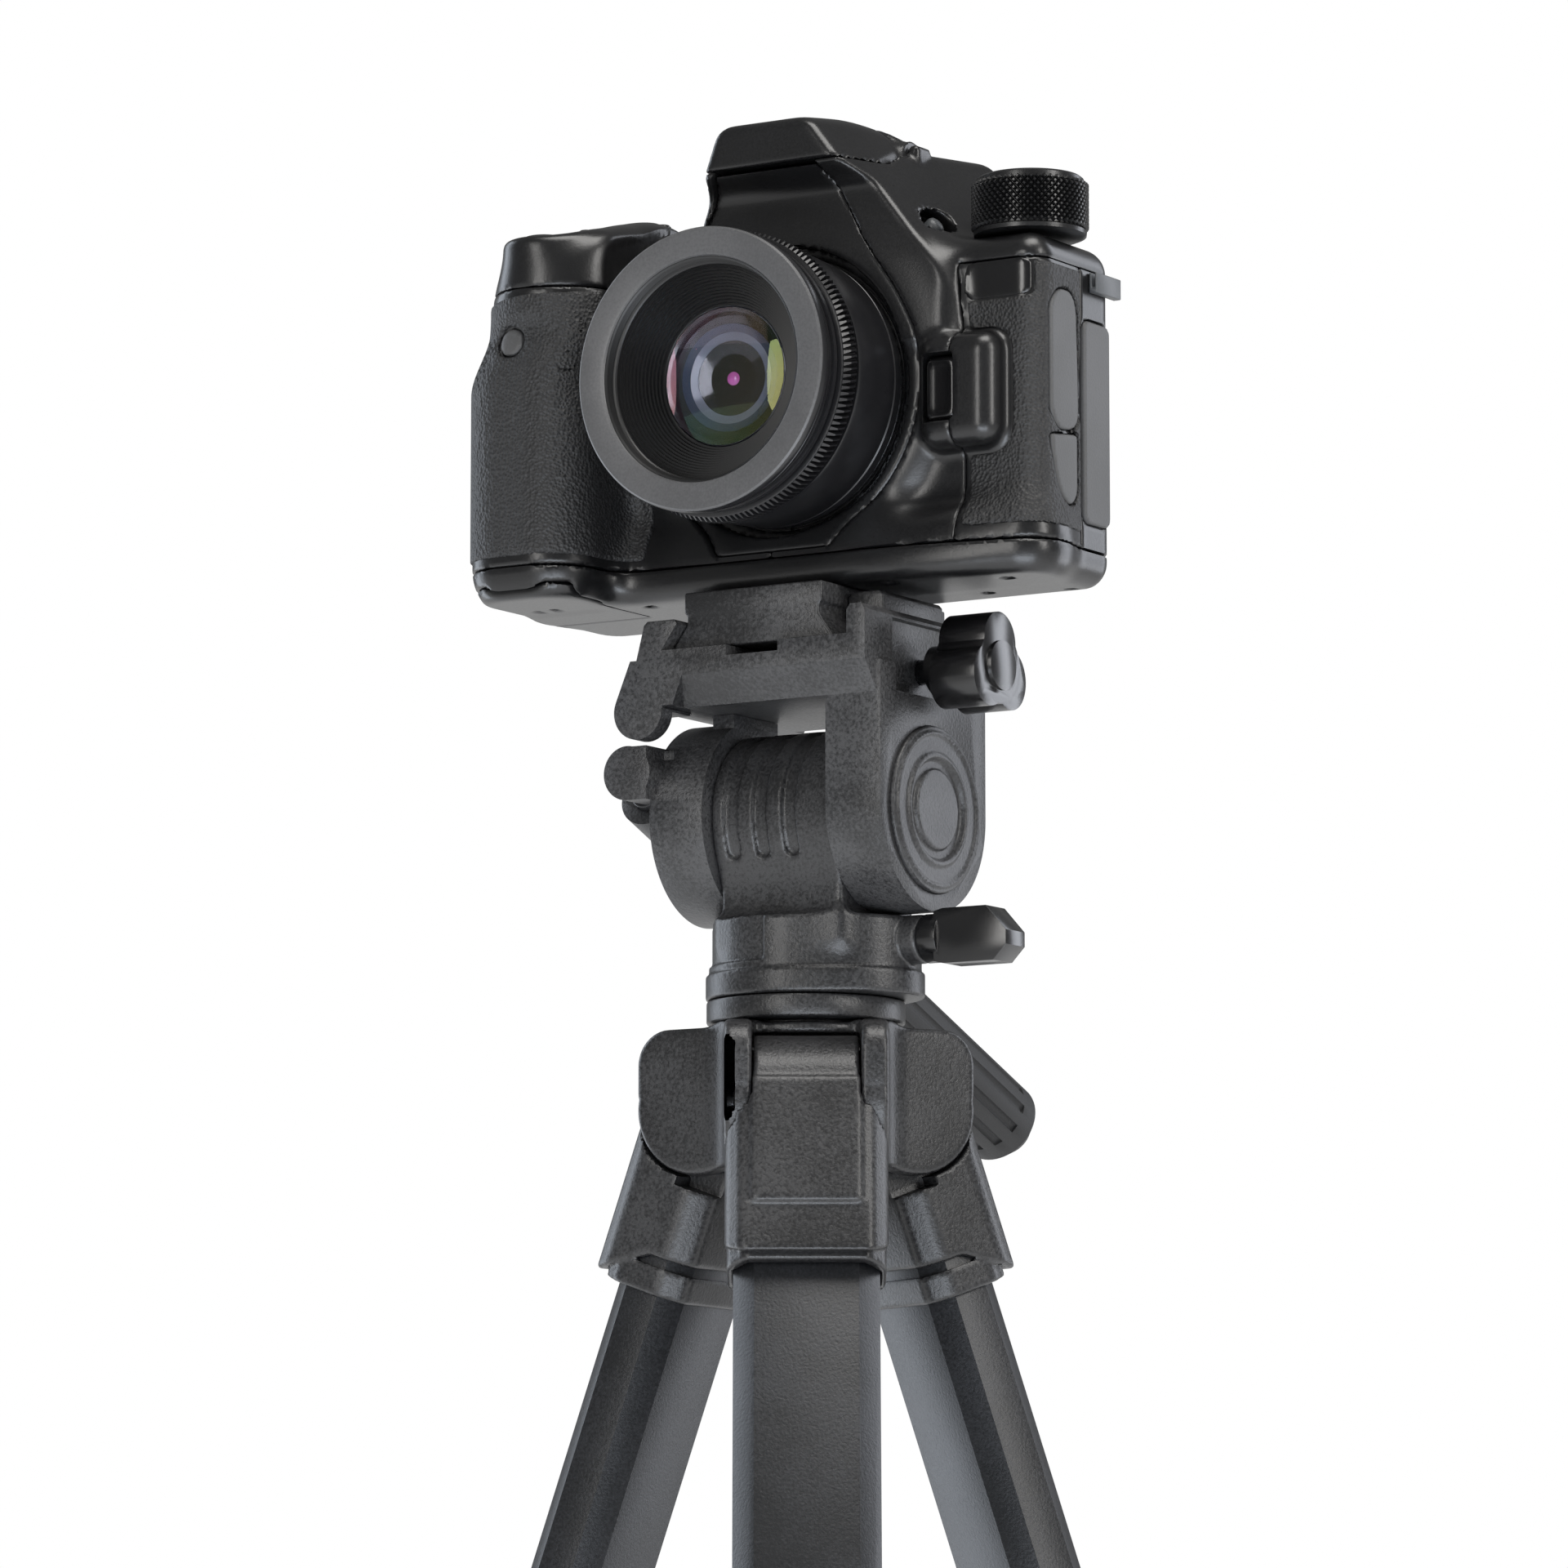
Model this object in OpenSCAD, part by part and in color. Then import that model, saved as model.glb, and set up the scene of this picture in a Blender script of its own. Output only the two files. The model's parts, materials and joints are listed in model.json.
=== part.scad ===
// A digital single-lens reflex camera on a three-leg stand with a pan and tilt head.
// Millimetres. +Z is up, the floor is Z = 0, and the lens looks along -Y.
// The origin is on the floor, under the middle of the three feet's plan box.

/* [Stand] */
// Length of a leg from its hinge pin to the floor, drawn out to its stop
leg_len = 600; // [560:10:700]
// Angle of a spread leg from the vertical
leg_tilt = 20; // [18:1:22]
// Distance of each hinge pin from the pan axis
hinge_r = 20; // [19:0.5:24]
// Angle that the legs are turned under the head, anticlockwise from above
leg_turn = 32; // [20:1:40]
// How far a leg's lower tube slides up into its upper tube
leg_travel = 205; // [100:5:205]
// Width of the upper leg tube across the leg
tube_w = 34.5; // [32:0.5:35]
// Depth of the upper leg tube
tube_d = 19; // [18:0.5:20]

/* [Head] */
// Height of the tilt axis above the hinge pins
tilt_z = 70.5; // [69:0.5:74]
// Radius of the drum that carries the tilt shaft
drum_r = 21; // [20:0.5:22]
// Radius of the two bracket cheeks
cheek_r = 24.6; // [24:0.1:24.9]
// Angle of the pan handle below the horizontal
handle_drop = 22; // [15:1:28]
// Length of the pan handle from its clamp to the end of its grip
handle_len = 186; // [150:1:200]

/* [Camera] */
// Width of the camera body from the lens axis to the port side
body_right = 70.5; // [68:0.5:72]
// Width of the camera body from the lens axis to the grip side
body_left = 77.5; // [75:0.5:80]
// Height of the lens axis above the camera's base
lens_z = 49.3; // [48:0.1:50]
// Outer radius of the lens
lens_r = 34.6; // [34:0.1:35]
// Length of the lens from the mount to its front rim
lens_len = 39; // [38:0.5:40]
// Wall of the camera's covers
wall = 2.2; // [1.8:0.1:2.6]

/* [Hidden] */
$fn = 64;
gap = 0.3;           // between pieces that move past each other
fit = 0.05;          // radial running clearance of a pin or shaft
shut = 0.1;          // between two covers that meet

// Stand
pin_z = leg_len * cos(leg_tilt);          // hinge pins above the floor
foot_r = hinge_r + leg_len * sin(leg_tilt);
pad_r = 13;                               // rubber foot
cheek_knuckle_r = 16;
tongue_w = 25;
knuckle_w = 39;
pin_r = 3;
hub_top = 19.5;
cast_low = -46;                           // lower rim of the leg casting
tube_wall = 1.6;
lower_w = 29.5;
lower_d = 14;
lower_end = -leg_len + 16;
foot_top = lower_end + 26;                // upper rim of the foot's socket
collar_h = 12;                            // lock collar below the upper tube
tube_end = foot_top + leg_travel + collar_h + 3;
lower_top = tube_end + 55;                // upper end of the lower tube
lever_x = 14;                             // lock lever's pin
lever_pin_z = tube_end - 4;
lever_pin_r = 2;
lever_half = 12.4;

// Head: distances from the pan axis, heights above the hinge pins
arm_in = 20.7;                            // right arm, inner and outer face
arm_out = 36;
cheek_in = -14.3;                         // left cheek, inner and outer face
cheek_out = -29.2;
drum_x0 = -14;
drum_x1 = 20.4;
wing_x = 34.5;                            // near face of the pan lock's collar
plate_x = 1;                              // middle of the plate and the camera
plate_y = 6;                              // camera screw
screw_r = 3.17;
bed_half = 30;                            // half length of the platform
bed_z = 110;                              // floor of the dovetail channel
cam_z = 124.2;                            // base of the camera
bed_lip = 117;                            // top of the channel's right wall
jaw_y = 14;                               // half length of the sliding jaw
knob_z = 104;
knob_x = 42;
lock_z = 39.5;
handle_x = -37;
handle_y = -12;
handle_z = 78;

// Camera, in its own frame: lens axis at x = 0, base at z = 0, back is +Y
front_y = -11;                            // lens mount plane
split_y = 9.8;                            // joint between front and rear cover
back_y = 27;
grip_front = -41;
grip_x1 = -43.5;                          // inner side of the grip
deck_z = 78;                              // joint of the top cover
hump_z = 104;                             // top of the prism hump under the flash
dial = [59, 6];                           // mode dial
shutter = [-57, -31];
button_a = [-64, -2];
button_b = [-44, 2];
flash_pin_y = 8;                          // hinge pin of the flash head
flash_pin_z = 107.5;
flash_pin_r = 1.5;
flash_nose_r = 5;
flash_half = 25;
flash_key = [31.5, -2, 84.2];             // inner end of the flash button
flash_key_lean = 55;
release_x = 47;                           // lens-release button
release_z = 44;
wheel_x = -56;                            // rear dial
wheel_z = 34;
leaf_y0 = -5;                             // leaf covers over the sockets
leaf_y1 = 8.6;
leaf_z0 = 17;
leaf_z1 = 70;
leaf_split = 35;
door_y0 = 11;                             // card door behind the leaf covers
door_y1 = 23.5;
door_z0 = 14.5;
door_z1 = 64;
eye_half_w = 10.5;                        // viewfinder window
eye_z0 = 86;
eye_z1 = 97.5;
focus_from = 21.9;                        // focus ring, measured from the mount
front_from = 30.1;                        // front ring
sleeve_r = 31;
filter_r = 27.1;                          // filter thread
mirror_y = 17;                            // hinge of the reflex mirror
mirror_len = 25;

// Legs 1, 2 and 3 in turn. The right and left feet furthest out set the middle.
function leg_angle(i) = -90 + leg_turn + 120 * (i - 1);
axis_x = -foot_r * (cos(leg_angle(1)) + cos(leg_angle(3))) / 2;
axis_y = -foot_r * (sin(leg_angle(1)) + sin(leg_angle(2))) / 2;

// ---------- shared placing and outlines ----------

// A frame on the pan axis, at the height of the hinge pins
module on_axis() {
    translate([axis_x, axis_y, pin_z]) children();
}

// A leg's own frame: origin on its pin, +X outwards, +Z up along the leg
module on_leg(i) {
    on_axis() rotate([0, 0, leg_angle(i)]) translate([hinge_r, 0, 0])
        rotate([0, -leg_tilt, 0]) children();
}

module on_camera() {
    on_axis() translate([plate_x, 0, cam_z]) children();
}

// Children drawn along +Z are laid along the handle
module on_handle() {
    on_axis() translate([handle_x, handle_y, handle_z])
        rotate([-90 - handle_drop, 0, 0]) children();
}

// Turns a shape drawn along +Z so that it lies along +X
module along_x() {
    rotate([0, 90, 0]) children();
}

// Turns a shape drawn along +Z so that it lies along -Y, upright side kept up
module along_front() {
    rotate([90, 0, 0]) children();
}

module round_rect(x0, y0, x1, y1, r) {
    translate([x0 + r, y0]) square([x1 - x0 - 2 * r, y1 - y0]);
    translate([x0, y0 + r]) square([x1 - x0, y1 - y0 - 2 * r]);
    for (x = [x0 + r, x1 - r], y = [y0 + r, y1 - r]) translate([x, y]) circle(r);
}

// A box from one corner to the other
module block(a, b) {
    translate(a) cube(b - a);
}

// Rectangle from x0 to x1 and half_w to both sides, its corners cut by cx and cy
module cut_rect(x0, x1, half_w, cx, cy) {
    polygon([[x0 + cx, -half_w], [x1 - cx, -half_w], [x1, -half_w + cy],
        [x1, half_w - cy], [x1 - cx, half_w], [x0 + cx, half_w],
        [x0, half_w - cy], [x0, -half_w + cy]]);
}

// Outline of the two tangent circles of the panning base
module base_outline(inset) {
    r1 = 24.4 - inset;
    r2 = 17 - inset;
    d = 13.7;
    a = acos((r1 - r2) / d);
    circle(r1);
    translate([d, 0]) circle(r2);
    polygon([[r1 * cos(a), r1 * sin(a)], [r1 * cos(a), -r1 * sin(a)],
        [d + r2 * cos(a), -r2 * sin(a)], [d + r2 * cos(a), r2 * sin(a)]]);
}

// ---------- stand ----------

// Spider: a top plate, three webs and six round cheeks that hold the leg pins
module hub() {
    slot = tongue_w / 2 + gap;
    half = knuckle_w / 2;
    color([0.20, 0.20, 0.21]) on_axis() difference() {
        union() {
            translate([0, 0, hub_top - 3.1]) linear_extrude(3.1) {
                circle(r = 23);
                for (i = [1:3]) rotate(leg_angle(i)) translate([2, -half + 0.5])
                    square([hinge_r + 5, knuckle_w - 1]);
            }
            translate([0, 0, -12]) linear_extrude(hub_top + 10.5) difference() {
                circle(r = 22);
                for (i = [1:3]) rotate(leg_angle(i)) translate([0, -slot - 0.2])
                    square([40, 2 * slot + 0.4]);
            }
            for (i = [1:3], s = [-1, 1]) rotate([0, 0, leg_angle(i)]) {
                translate([hinge_r, s * (slot + half) / 2, 0]) rotate([90, 0, 0])
                    linear_extrude(half - slot, center = true) difference() {
                        circle(r = cheek_knuckle_r);
                        translate([-30, -20]) square([22, 40]);
                    }
                translate([hinge_r - 3, s * (slot + half) / 2, 12.5])
                    cube([8, half - slot - 1.2, 9], center = true);
            }
        }
        for (i = [1:3]) rotate([0, 0, leg_angle(i)]) translate([hinge_r, 0, 0])
            rotate([90, 0, 0]) cylinder(r = pin_r + 0.02, h = knuckle_w + 2, center = true);
        translate([0, 0, hub_top - 5]) cylinder(r = 4.9, h = 10);
    }
}

module hub_pins() {
    color([0.55, 0.56, 0.58]) on_axis() for (i = [1:3]) rotate([0, 0, leg_angle(i)])
        translate([hinge_r, 0, 0]) rotate([90, 0, 0])
            cylinder(r = pin_r, h = knuckle_w - 0.6, center = true);
}

// Leg casting: a round tongue on the pin, seats under the cheeks, a raised
// outer panel and a collar that the tube is bonded into
module leg_casting(i) {
    half = knuckle_w / 2;
    color([0.30, 0.31, 0.33]) on_leg(i) difference() {
        union() {
            intersection() {
                rotate([90, 0, 0]) cylinder(r = cheek_knuckle_r, h = tongue_w, center = true);
                block([-7, -20, -20], [20, 20, 20]);
            }
            translate([0, 0, cast_low]) linear_extrude(-cast_low - 6)
                cut_rect(-10.2, 15.6, half, 8, 4.5);
            translate([0, 0, cast_low + 14]) linear_extrude(-cast_low - 14)
                polygon([[10, -15], [16.9, -14.4], [16.9, 14.4], [10, 15]]);
        }
        for (s = [-1, 1]) {
            translate([0, s * (half + tongue_w / 2) / 2 + s * 0.1, 0]) rotate([90, 0, 0])
                cylinder(r = cheek_knuckle_r + 0.6, h = (knuckle_w - tongue_w) / 2 + 0.2, center = true);
            translate([-7, s * (half + tongue_w / 2 + 0.2) / 2, -9.5])
                cube([12, (knuckle_w - tongue_w) / 2 + 0.2, 21], center = true);
        }
        block([-12, -20, -9], [-7, 20, 3]);
        rotate([90, 0, 0]) cylinder(r = pin_r + fit, h = 60, center = true);
        translate([0, 0, cast_low - 1]) linear_extrude(27)
            cut_rect(-tube_d / 2 - shut, tube_d / 2 + shut, tube_w / 2 + shut, 5, 5);
    }
}

// Upper leg tube, open at both ends, with its lock collar at the lower end
module leg_tube(i) {
    color([0.16, 0.17, 0.19]) on_leg(i) {
        difference() {
            translate([0, 0, tube_end]) linear_extrude(cast_low + 25 - tube_end)
                cut_rect(-tube_d / 2, tube_d / 2, tube_w / 2, 5, 5);
            translate([0, 0, tube_end - 1]) linear_extrude(-tube_end)
                cut_rect(-tube_d / 2 + tube_wall, tube_d / 2 - tube_wall,
                    tube_w / 2 - tube_wall, 4.3, 4.3);
        }
        difference() {
            union() {
                translate([0, 0, tube_end - collar_h]) linear_extrude(collar_h + 26)
                    cut_rect(-11, 12.5, 19.5, 5, 5);
                for (s = [-1, 1]) translate([lever_x - 2, s * 15.5, lever_pin_z])
                    rotate([90, 0, 0]) cylinder(r = 5, h = 5, center = true);
            }
            translate([0, 0, tube_end]) linear_extrude(60)
                cut_rect(-tube_d / 2 - shut, tube_d / 2 + shut, tube_w / 2 + shut, 5, 5);
            translate([0, 0, tube_end - 20]) linear_extrude(60)
                cut_rect(-lower_d / 2 - gap, lower_d / 2 + gap, lower_w / 2 + gap, 4, 4);
            translate([lever_x, 0, lever_pin_z]) rotate([90, 0, 0])
                cylinder(r = lever_pin_r + fit, h = 60, center = true);
            block([9.2, -lever_half - gap, tube_end - collar_h - 1],
                [18, lever_half + gap, tube_end + 3]);
        }
    }
}

// Flip lever of the leg lock, with its cross pin
module lock_lever(i) {
    color([0.12, 0.12, 0.13]) on_leg(i) difference() {
        union() {
            translate([lever_x, 0, lever_pin_z]) rotate([90, 0, 0])
                cylinder(r = 4.2, h = 2 * lever_half, center = true);
            block([lever_x + 0.4, -lever_half, lever_pin_z],
                [lever_x + 4.2, lever_half, lever_pin_z + 34]);
            translate([lever_x, 0, lever_pin_z]) rotate([90, 0, 0])
                cylinder(r = lever_pin_r, h = 36, center = true);
        }
        translate([19.5, 0, lever_pin_z + 40]) rotate([90, 0, 0])
            cylinder(r = 8, h = 60, center = true);
    }
}

module lower_tube(i) {
    color([0.35, 0.36, 0.38]) on_leg(i) difference() {
        translate([0, 0, lower_end]) linear_extrude(lower_top - lower_end)
            cut_rect(-lower_d / 2, lower_d / 2, lower_w / 2, 4, 4);
        translate([0, 0, lower_end - 1]) linear_extrude(lower_top - lower_end - 3)
            cut_rect(-lower_d / 2 + 1.4, lower_d / 2 - 1.4, lower_w / 2 - 1.4, 3.4, 3.4);
    }
}

// Rubber foot: a socket over the tube's end and a flat round pad on the floor
module foot(i) {
    color([0.08, 0.08, 0.09]) difference() {
        union() {
            on_leg(i) translate([0, 0, lower_end - 8]) linear_extrude(foot_top - lower_end + 8)
                cut_rect(-lower_d / 2 - 2.4, lower_d / 2 + 2.4, lower_w / 2 + 2.4, 5, 5);
            translate([axis_x, axis_y, 0]) rotate([0, 0, leg_angle(i)])
                translate([foot_r, 0, 0]) cylinder(r1 = pad_r, r2 = pad_r - 1.5, h = 12);
        }
        on_leg(i) translate([0, 0, lower_end - shut]) linear_extrude(40)
            cut_rect(-lower_d / 2 - shut, lower_d / 2 + shut, lower_w / 2 + shut, 4, 4);
        block([-400, -400, -20], [400, 400, 0]);
    }
}

// ---------- head ----------

// Fixed ring that the head pans on, and the screw that holds it to the hub
module base_ring() {
    color([0.42, 0.43, 0.45]) on_axis() {
        difference() {
            union() {
                translate([0, 0, hub_top]) cylinder(r = 17, h = 1.6);
                translate([0, 0, hub_top + 1.1]) cylinder(r = 24, h = 26 - hub_top - 1.1);
                translate([0, 0, 25]) cylinder(r = 8, h = 8);
            }
            cylinder(r = 4.8, h = 30.5);
        }
        translate([0, 0, 16]) cylinder(r = 4.74, h = 13);
        translate([0, 0, 12.6]) cylinder(r = 7, h = 3.6);
    }
}

// Panning base with its pedestal and drum
module pan_housing() {
    color([0.38, 0.39, 0.41]) on_axis() difference() {
        union() {
            translate([0, 0, 26 + gap]) linear_extrude(6.4) base_outline(0);
            translate([0, 0, 32]) linear_extrude(13.2) base_outline(0.6);
            block([drum_x0, -16.5, 40], [drum_x1, 16.5, tilt_z - 4]);
            translate([drum_x0, 0, tilt_z]) along_x() cylinder(r = drum_r, h = drum_x1 - drum_x0);
            translate([26, 0, lock_z]) along_x() cylinder(r = 5.9, h = wing_x - 26 - 0.5);
        }
        translate([0, 0, 20]) cylinder(r = 8 + fit, h = 14);
        translate([-30, 0, tilt_z]) along_x() cylinder(r = 6 + fit, h = 80);
        translate([12, 0, lock_z]) along_x() cylinder(r = 3 + fit, h = 60);
    }
}

// Wing screw that locks the panning
module pan_lock_wing() {
    color([0.12, 0.12, 0.13]) on_axis() translate([0, 0, lock_z]) {
        translate([13, 0, 0]) along_x() cylinder(r = 3, h = 25);
        translate([wing_x, 0, 0]) along_x() cylinder(r = 5.9, h = 5);
        translate([39, 0, 0]) rotate([90, 0, 0]) translate([0, 0, -4.5]) linear_extrude(9)
            polygon([[-0.5, -6], [2, -6.6], [16, -6.6], [19.5, -3], [19.5, 0.5],
                [14, 6.6], [2, 6.6], [-0.5, 6]]);
    }
}

module tilt_shaft() {
    color([0.6, 0.6, 0.62]) on_axis() translate([cheek_out + 1, 0, tilt_z])
        along_x() cylinder(r = 6, h = arm_out - 2 - cheek_out - 1);
}

// Outline of the platform, seen along the dovetail channel
module bed_profile() {
    polygon([[-29.6, 96.6], [-29.6, 108], [-27.4, 116.4], [-26.4, 117.3], [-18.8, 117.3],
        [-18, 116.2], [-22.6, bed_z], [29.9, bed_z], [29.9, 115.6],
        [31, bed_lip], [33.8, bed_lip], [arm_out - 1, 115.6], [arm_out - 1, 103.6], [-16.6, 103.6],
        [-19.2, 96.6]]);
}

// Tilting bracket: dovetail platform with its right arm
module tilt_bracket() {
    color([0.46, 0.47, 0.49]) on_axis() difference() {
        union() {
            translate([0, bed_half, 0]) along_front() linear_extrude(2 * bed_half) bed_profile();
            // Rounded lobe over the handle clamp
            translate([0, -17, 0]) along_front() linear_extrude(13)
                difference() {
                    union() {
                        translate([-29.2, 95.6]) circle(6.8);
                        polygon([[-35.4, 98.4], [-31.4, 108], [-28, 108], [-22, 96]]);
                    }
                    translate([-29.2 + 8.6, 86]) square([10, 20]);
                }
            // Sloped underside that joins the platform to the arm
            translate([-19.2, 0, 0]) rotate([90, 0, 90]) linear_extrude(arm_out - 1 + 19.2)
                polygon([[-bed_half, 103.7], [bed_half, 103.7], [cheek_r, 96.4], [-cheek_r, 96.4]]);
            block([arm_in, -cheek_r, tilt_z], [arm_out, cheek_r, 104]);
            translate([arm_in, 0, tilt_z]) along_x() cylinder(r = cheek_r, h = arm_out - arm_in);
        }
        translate([-40, 0, tilt_z]) along_x() cylinder(r = 6.02, h = 74.1);
        // Notch under the plate, jaw pocket, screw hole and the side pocket
        block([-4, -bed_half - 1, 107.4], [10.6, bed_half + 1, bed_z + 1]);
        block([20, -jaw_y - 0.4, 98.8], [30.2, jaw_y + 0.4, 112]);
        block([32.6, -17.3, 97.4], [arm_out + 1, 17.3, 115]);
        translate([20, 0, knob_z]) along_x() cylinder(r = 3 + fit, h = 20);
        translate([arm_out - 1.4, 0, tilt_z]) along_x() cylinder(r = 20.3, h = 3);
        block([cheek_out - 8, -cheek_r - 0.4, 60], [cheek_in + 0.2, cheek_r + 0.4, 95.6]);
    }
}

// Left cheek: a clamp ring on the shaft with the ear that takes the handle
module clamp_cheek() {
    color([0.44, 0.45, 0.47]) difference() {
        union() {
            on_axis() {
                translate([cheek_out, 0, tilt_z]) along_x()
                    cylinder(r = cheek_r, h = cheek_in - cheek_out);
                block([cheek_out - 3, -20, 74.5], [cheek_out + 4, 8, 87]);
                translate([0, 2, 0]) along_front() linear_extrude(30) {
                    translate([-33.6, 81.2]) circle(6.6);
                    block2d([-33.6, 74.6], [-28, 87.6]);
                }
                block([cheek_in - 6, -10, 92], [cheek_in, 10, 96.3]);
            }
            on_handle() cylinder(r = 8.2, h = 22);
        }
        on_axis() translate([-40, 0, tilt_z]) along_x() cylinder(r = 6.02, h = 60);
        on_handle() translate([0, 0, -3]) cylinder(r = 4.5 + fit, h = 40);
    }
}

module block2d(a, b) {
    translate(a) square(b - a);
}

// Turned cap over the end of the tilt shaft
module tilt_cap() {
    color([0.34, 0.35, 0.37]) on_axis() translate([arm_out - 1.3, 0, tilt_z]) along_x() {
        difference() {
            cylinder(r = 20.2, h = 2.4);
            translate([0, 0, 1.4]) difference() {
                cylinder(r = 13.4, h = 3);
                cylinder(r = 10.4, h = 3);
            }
        }
        cylinder(r = 10.4, h = 3);
    }
}

// Sliding jaw of the quick-release clamp
module clamp_jaw() {
    color([0.14, 0.14, 0.15]) on_axis() difference() {
        translate([0, jaw_y, 0]) along_front() linear_extrude(2 * jaw_y)
            polygon([[21, 99.2], [26.6, 99.2], [26.6, bed_lip + 0.5], [30.4, bed_lip + 0.5],
                [30.4, 121.6], [29.4, 122.6], [22, 122.6], [20.7, 121.2], [20.7, 116.4],
                [24.6, bed_z + 0.4], [21, bed_z + 0.4]]);
        translate([18, 0, knob_z]) along_x() cylinder(r = 2.4 + fit, h = 20);
    }
}

// Three-lobed clamp knob with its screw
module clamp_knob() {
    color([0.08, 0.08, 0.09]) on_axis() translate([0, 0, knob_z]) {
        translate([21.6, 0, 0]) along_x() cylinder(r = 2.4, h = 9);
        translate([30, 0, 0]) along_x() cylinder(r = 3, h = 12);
        translate([36.8, 0, 0]) along_x() cylinder(r = 6, h = 6);
        translate([knob_x, 0, 0]) along_x() {
            for (a = [60, 180, 300]) rotate([0, 0, a]) translate([5.6, 0, 0]) cylinder(r = 7.4, h = 12.6);
            cylinder(r = 9.2, h = 12.6);
            cylinder(r = 6, h = 13.6);
        }
    }
}

// Quick-release plate under the camera
module quick_plate() {
    color([0.46, 0.47, 0.49]) on_axis() difference() {
        translate([plate_x, 32, 0]) along_front() linear_extrude(58)
            polygon([[-22.8, bed_z + 0.4], [22.8, bed_z + 0.4], [18.6, 116.2], [18.6, 118.4],
                [19.4, 119.2], [19.4, cam_z - 0.02], [-19.4, cam_z - 0.02], [-19.4, 119.2],
                [-18.6, 118.4], [-18.6, 116.2]]);
        translate([plate_x, plate_y, bed_z]) cylinder(r = 9.4, h = 4.8);
        translate([plate_x, plate_y, 100]) cylinder(r = screw_r + fit, h = 40);
    }
}

module camera_screw() {
    color([0.62, 0.62, 0.64]) on_axis() translate([plate_x, plate_y, 0]) {
        translate([0, 0, bed_z + 1.6]) cylinder(r = 9.2, h = 3);
        translate([0, 0, bed_z + 4]) cylinder(r = screw_r, h = cam_z + 7 - bed_z - 4);
    }
}

module handle_rod() {
    color([0.6, 0.6, 0.62]) on_handle() {
        translate([0, 0, -2]) cylinder(r = 4.5, h = 92);
        translate([0, 0, 22.4]) cylinder(r = 7, h = 5);
    }
}

// Ribbed rubber grip of the handle
module handle_grip() {
    color([0.15, 0.15, 0.16]) on_handle() difference() {
        union() {
            translate([0, 0, 58]) cylinder(r1 = 8.5, r2 = 11, h = 8);
            translate([0, 0, 66]) cylinder(r = 11, h = handle_len - 66 - 6);
            translate([0, 0, handle_len - 6]) cylinder(r1 = 11, r2 = 6.5, h = 6);
        }
        translate([0, 0, 40]) cylinder(r = 4.52, h = 50.2);
        for (a = [0:30:359]) rotate([0, 0, a]) translate([11.4, 0, 72])
            cylinder(r = 1.3, h = handle_len - 84);
    }
}

// ---------- camera ----------

module body_outline(inset) {
    round_rect(-body_left + inset, front_y + inset, body_right - inset, back_y - inset, 5);
    round_rect(-body_left + inset, grip_front + inset, grip_x1 - inset, back_y - inset - 4, 10);
}

// Moulded plate around the lens mount
module front_fascia() {
    color([0.30, 0.31, 0.33]) on_camera() difference() {
        translate([0, front_y - shut, 0]) along_front() linear_extrude(1.8)
            polygon([[-20, 9.6], [-31, 21], [-36.5, 40], [-36.5, 60], [-29, 92], [-23, 103.6],
                [14.8, 103.6], [29.5, 94], [34, 84], [37.1, 71], [39.1, 59],
                [38.4, 42], [34.9, 26.4], [27, 14], [15, 9.6]]);
        translate([0, front_y + 1, lens_z]) along_front() cylinder(r = 35.2, h = 5);
    }
}

// Front cover with the hand grip, open to the rear
module front_shell() {
    color([0.13, 0.13, 0.14]) on_camera() difference() {
        translate([0, 0, 4 + shut]) linear_extrude(deck_z - 4 - 2 * shut) body_outline(0);
        translate([0, 0, -1]) linear_extrude(deck_z + 2) body_outline(wall);
        block([-90, split_y - shut, -1], [90, 40, 90]);
        translate([0, 0, lens_z]) along_front() cylinder(r = 33, h = 60);
        block([body_right - 1.5, leaf_y0 - shut, leaf_z0 - 0.2], [80, leaf_y1 + shut, leaf_z1 + 0.2]);
        // Seat of the lens-release button
        translate([release_x, 0, release_z]) along_front() cylinder(r = 6.3, h = 20);
    }
}

// Rear cover, open to the front
module rear_shell() {
    color([0.13, 0.13, 0.14]) on_camera() difference() {
        translate([0, 0, 4 + shut]) linear_extrude(deck_z - 4 - 2 * shut) body_outline(0);
        translate([0, 0, -1]) linear_extrude(deck_z + 2) body_outline(wall);
        block([-90, -60, -1], [90, split_y, 90]);
        block([body_right - 1.5, door_y0 - shut, door_z0 - shut],
            [80, door_y1 + shut, door_z1 + shut]);
        block([-33.2, back_y - 1.2, 12.8], [39.2, 40, 61.2]);
        translate([wheel_x, back_y - 1.2, wheel_z]) rotate([-90, 0, 0]) cylinder(r = 14.4, h = 9);
    }
}

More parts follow.
